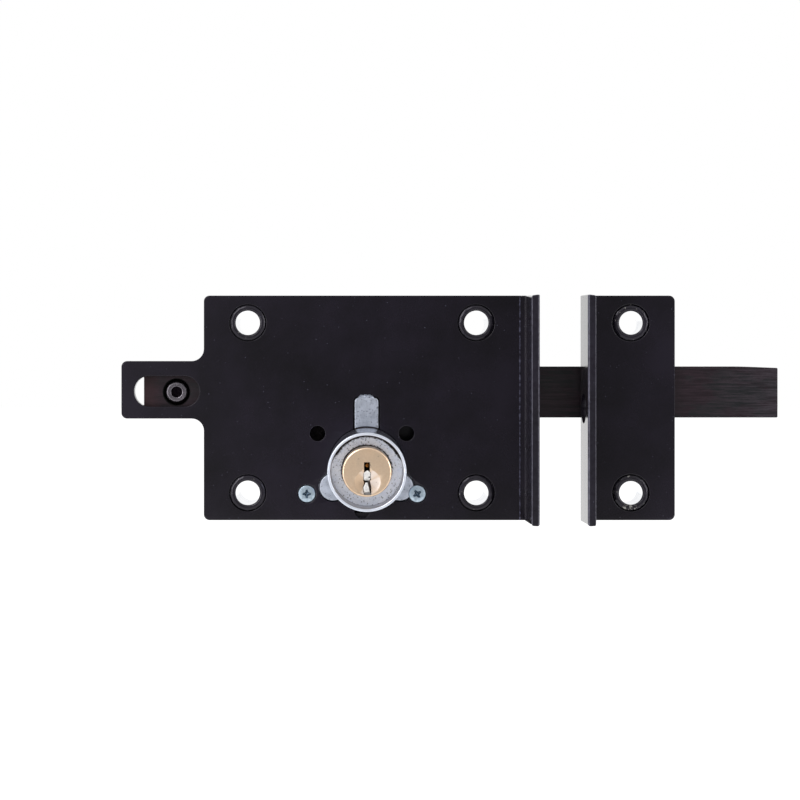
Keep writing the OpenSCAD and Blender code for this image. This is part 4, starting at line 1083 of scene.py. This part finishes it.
def make_clutch_spring():
    """Coil spring: a ring of points carried along a helix, at (r + w cos b) from the axis and w sin b along
    it, where w is half the wire."""
    low, high = (1000 * v for v in np.array(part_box("clutch_spring"))[:, 1])
    turns = 5
    wire_r = 0.25
    mean_r = 1.7
    sides = 10
    a = np.linspace(0, 2 * np.pi * turns, turns * 28 + 1)[:, None]
    b = np.linspace(0, 2 * np.pi, sides, endpoint=False)[None, :]
    r = mean_r + wire_r * np.cos(b)
    rise = (high - low - 2 * wire_r) * a / a.max()
    depth = low + wire_r + rise + wire_r * np.sin(b)
    points = np.stack([CYL_X + r * np.cos(a), depth, CYL_Z + r * np.sin(a)], axis=2).reshape(-1, 3)
    ends = np.array([np.arange(sides), len(points) - 1 - np.arange(sides)])
    coil = (points, [strip_faces(len(a), sides), ends])
    obj = piece("clutch_spring_coil", [coil], [SPRING], node=["clutch_spring"],
                body="drive", flat=True, sharp=60)
    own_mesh(obj)


def make_knob():
    """Turned ball knob with a foot, a waisted neck and a small flat at its end."""
    y0 = BAR_Y1 + 0.8
    y1 = y0 + 22
    ball = 7.9
    neck_r = 4.5
    flat_r = 2.6
    middle = y1 - np.sqrt(ball**2 - flat_r**2)
    start = 180 - np.degrees(np.arcsin(neck_r / ball))
    end = np.degrees(np.arcsin(flat_r / ball))
    profile = [
        [(y0 + 9.5, 0.0), (y0 + 9.5, 2.05), (y0 + 0.2, 2.05), (y0, 2.3), (y0, 5.2)],
        arc(y0 + 0.3, 5.2, 0.3, 180, 90, 4)[1:],
        arc(y0 + 1.2, 5.2, 0.3, 90, 0, 4),
        [(y0 + 1.6, 4.6)],
        arc(middle, 0.0, ball, start, end, 40),
        [(y1, 2.4), (y1, 0.0)],
    ]
    parts = [turned(np.vstack(profile), *BAR_SCREW, 128)]
    piece("ball_knob", parts, [KNOB_BLACK], node=["pull_knob"], body="bar")


# Pressed covers


def make_cover(name, node, x0, x1, back, holes):
    """Pressed box, open towards the plate: its back edge is bent to 2.2 mm outside, with the bar's slots."""
    outer = slab([box_loop(x0, -CASE_H, x1, CASE_H, 3.0)], PLATE_T, back, 0.0, 2.2, steps=8)
    obj = piece(name, [outer], [COAT_PLAIN], node=[node])
    room = box_loop(x0 + CASE_T, CASE_T - CASE_H, x1 - CASE_T, CASE_H - CASE_T, 1.5)
    mouth = box_loop(PLATE_T - 1, BAR_Z0 - 0.3, BAR_Y1 + 0.3, BAR_Z1 + 0.3, 0.3)
    cutters = [slab([room], PLATE_T - 1, back - CASE_T, 0.0, 0.8)]
    cutters.append(slab([mouth], x0 - 1, x1 + 1, 0, 0, plane="yz"))
    carve(obj, cutters + [slab([circle(x, z, r, 64)], back - 3, back + 1, 0, 0) for x, z, r in holes])


make_lock_plate()
make_keep_plate()
for name, node, coat, fixings, back, seed, rough, lip in (
    ("lock_tubes", "mounting_pillars", COAT_PEENED, LOCK_FIXINGS, CASE_BACK, 1, 0.25, 0.1),
    ("keep_tubes", "keep_pillars", COAT_CHIPPED, KEEP_FIXINGS, KEEP_BACK, 11, 0.35, 0.25),
):
    tubes = [pillar(x, z, back, seed + k, rough, lip) for k, (x, z) in enumerate(fixings)]
    piece(name, sum(tubes, []), [coat, TUBE_BORE], [0, 1] * len(tubes), node=[node])
make_ring()
make_casting()
make_plug()
heads = countersunk_screw(*SCREWS[0], 0.0) + countersunk_screw(*SCREWS[1], np.radians(33))
slots = [0, 0, 1, 1] * 2
piece("cross_screws", heads, [PLATED, PLATED_RECESS_SHADE_AND_DIRT], slots, node=["cylinder_screws"])
make_bar()
make_cap_screw()
make_clutch_spring()
make_knob()
seats = [(x, z, SEAT_R) for x, z in LOCK_FIXINGS]
inner_holes = [(*CYL, BUSH_HOLE_R), (IDLER_X, IDLER_Z, IDLER_HOLE_R)]
inner_holes += [(x, z, POST_HOLE_R) for x, z in SPRING_POSTS]
make_cover("case_box", "case_cover", CASE_X0, CASE_X1, CASE_BACK, seats + inner_holes)
seats = [(x, z, SEAT_R) for x, z in KEEP_FIXINGS]
make_cover("keep_box", "keep_cover", KEEP_BOX_X0, KEEP_BOX_X1, KEEP_BACK, seats)

# CAD nodes whose shape is right keep it and get their metal
for finish, names in (
    (BRASS, ["key_pins", "driver_pins"]),
    (SPRING, ["pin_springs", "plug_clip", "idler_clip", "friction_spring"]),
    (STEEL, ["clutch_dog", "idler_pin", "spring_posts"]),
    (GEAR_STEEL_SHADE, ["drive_gear", "idler_gear"]),
    (BRONZE, ["gear_bush"]),
    (PLATED, ["knob_washer"]),
    (COAT_PLAIN, ["tail_guide", "nose_guide"]),
):
    for name in names:
        mesh = NODES[name].data
        mesh.materials.clear()
        mesh.materials.append(finish)


# Stage, light and camera


def make_floor():
    """Pale floor below the lock. It adds a little of its own light for camera, glossy and transmission
    rays, so that it reads as white, and is clear from below."""
    made = bpy.data.materials.new("pale_floor")
    add = bare_tree(made)
    ray = add("ShaderNodeLightPath").node.outputs
    seen = add(LARGER, {0: ray["Is Camera Ray"], 1: ray["Is Glossy Ray"]})
    seen = add(LARGER, {0: seen, 1: ray["Is Transmission Ray"]})
    shine = add(TIMES, {0: seen, 1: 0.75})
    glow = add("ShaderNodeEmission", {"Color": (1, 1, 1, 1), "Strength": shine})
    plain = add("ShaderNodeBsdfDiffuse", {"Color": "#cbcbcb"})
    lit = add("ShaderNodeAddShader", {0: plain, 1: glow})
    clear = add("ShaderNodeBsdfTransparent")
    below = add("ShaderNodeNewGeometry", out="Backfacing")
    both = add("ShaderNodeMixShader", {0: below, 1: lit, 2: clear})
    add("ShaderNodeOutputMaterial", {"Surface": both})
    half = 4000
    corners = [(-half, -750, -160), (half, -750, -160), (half, half, -160), (-half, half, -160)]
    mesh = mesh_of("floor", (np.array(corners), [np.array([(0, 1, 2, 3)])]))
    mesh.materials.append(made)
    floor = linked("floor", mesh)


def make_world():
    """White room for camera and transmission rays. Glossy rays see it white too, down to 0.3 in a cone
    round the camera, where a studio is dark, and diffuse rays get a plain soft level."""
    world = bpy.data.worlds.new("white_studio")
    bpy.context.scene.world = world
    add = bare_tree(world)
    ray = add("ShaderNodeLightPath").node.outputs
    way = add("ShaderNodeTexCoord", out="Generated")
    aim = add(VECTOR, {0: way, 1: (0.1, -0.995, -0.02)}, "Value", operation="DOT_PRODUCT")
    room = add(RANGE, {"Value": aim, "From": (0.93, 0.993), "To": (1.0, 0.3)})
    seen = add(LARGER, {0: ray["Is Camera Ray"], 1: ray["Is Transmission Ray"]})
    soft = add(MIX, {0: ray["Is Glossy Ray"], 2: 0.62, 3: room}, data_type="FLOAT")
    strength = add(MIX, {0: seen, 2: soft, 3: 1.0}, data_type="FLOAT")
    back = add("ShaderNodeBackground", {"Color": (1, 1, 1, 1), "Strength": strength})
    add("ShaderNodeOutputWorld", {"Surface": back})


def make_lamp(name, place, width, height, power):
    """Soft lamp aimed at the lock."""
    data = bpy.data.lights.new(name, "AREA")
    data.shape = "RECTANGLE"
    data.energy = power
    data.size = width
    data.size_y = height
    lamp = linked(name, data)
    lamp.location = place
    lamp.rotation_euler = (Vector((0.02, 0, 0)) - Vector(place)).to_track_quat("-Z", "Y").to_euler()
    lamp.visible_camera = False


def make_camera():
    """Camera square to the plate, 416 mm away, shifted as the photograph is framed."""
    data = bpy.data.cameras.new("camera")
    data.lens = 60.08
    data.sensor_width = 36
    data.shift_x = 0.05
    data.shift_y = -0.05625
    camera = linked("camera", data)
    camera.location = (-0.000625, -0.416, 0.01648)
    camera.rotation_euler = (np.pi / 2, 0, 0)
    bpy.context.scene.camera = camera


make_floor()
make_world()
make_lamp("upper_left_softbox", (-0.7, -0.7, 0.85), 0.6, 0.6, 5.0)
make_lamp("left_strip", (-0.82, -0.7, 0.05), 0.22, 1.1, 4.8)
make_lamp("right_strip", (0.98, -0.5, 0.05), 0.22, 1.1, 3.6)
make_camera()
bpy.context.scene.view_settings.view_transform = "Standard"
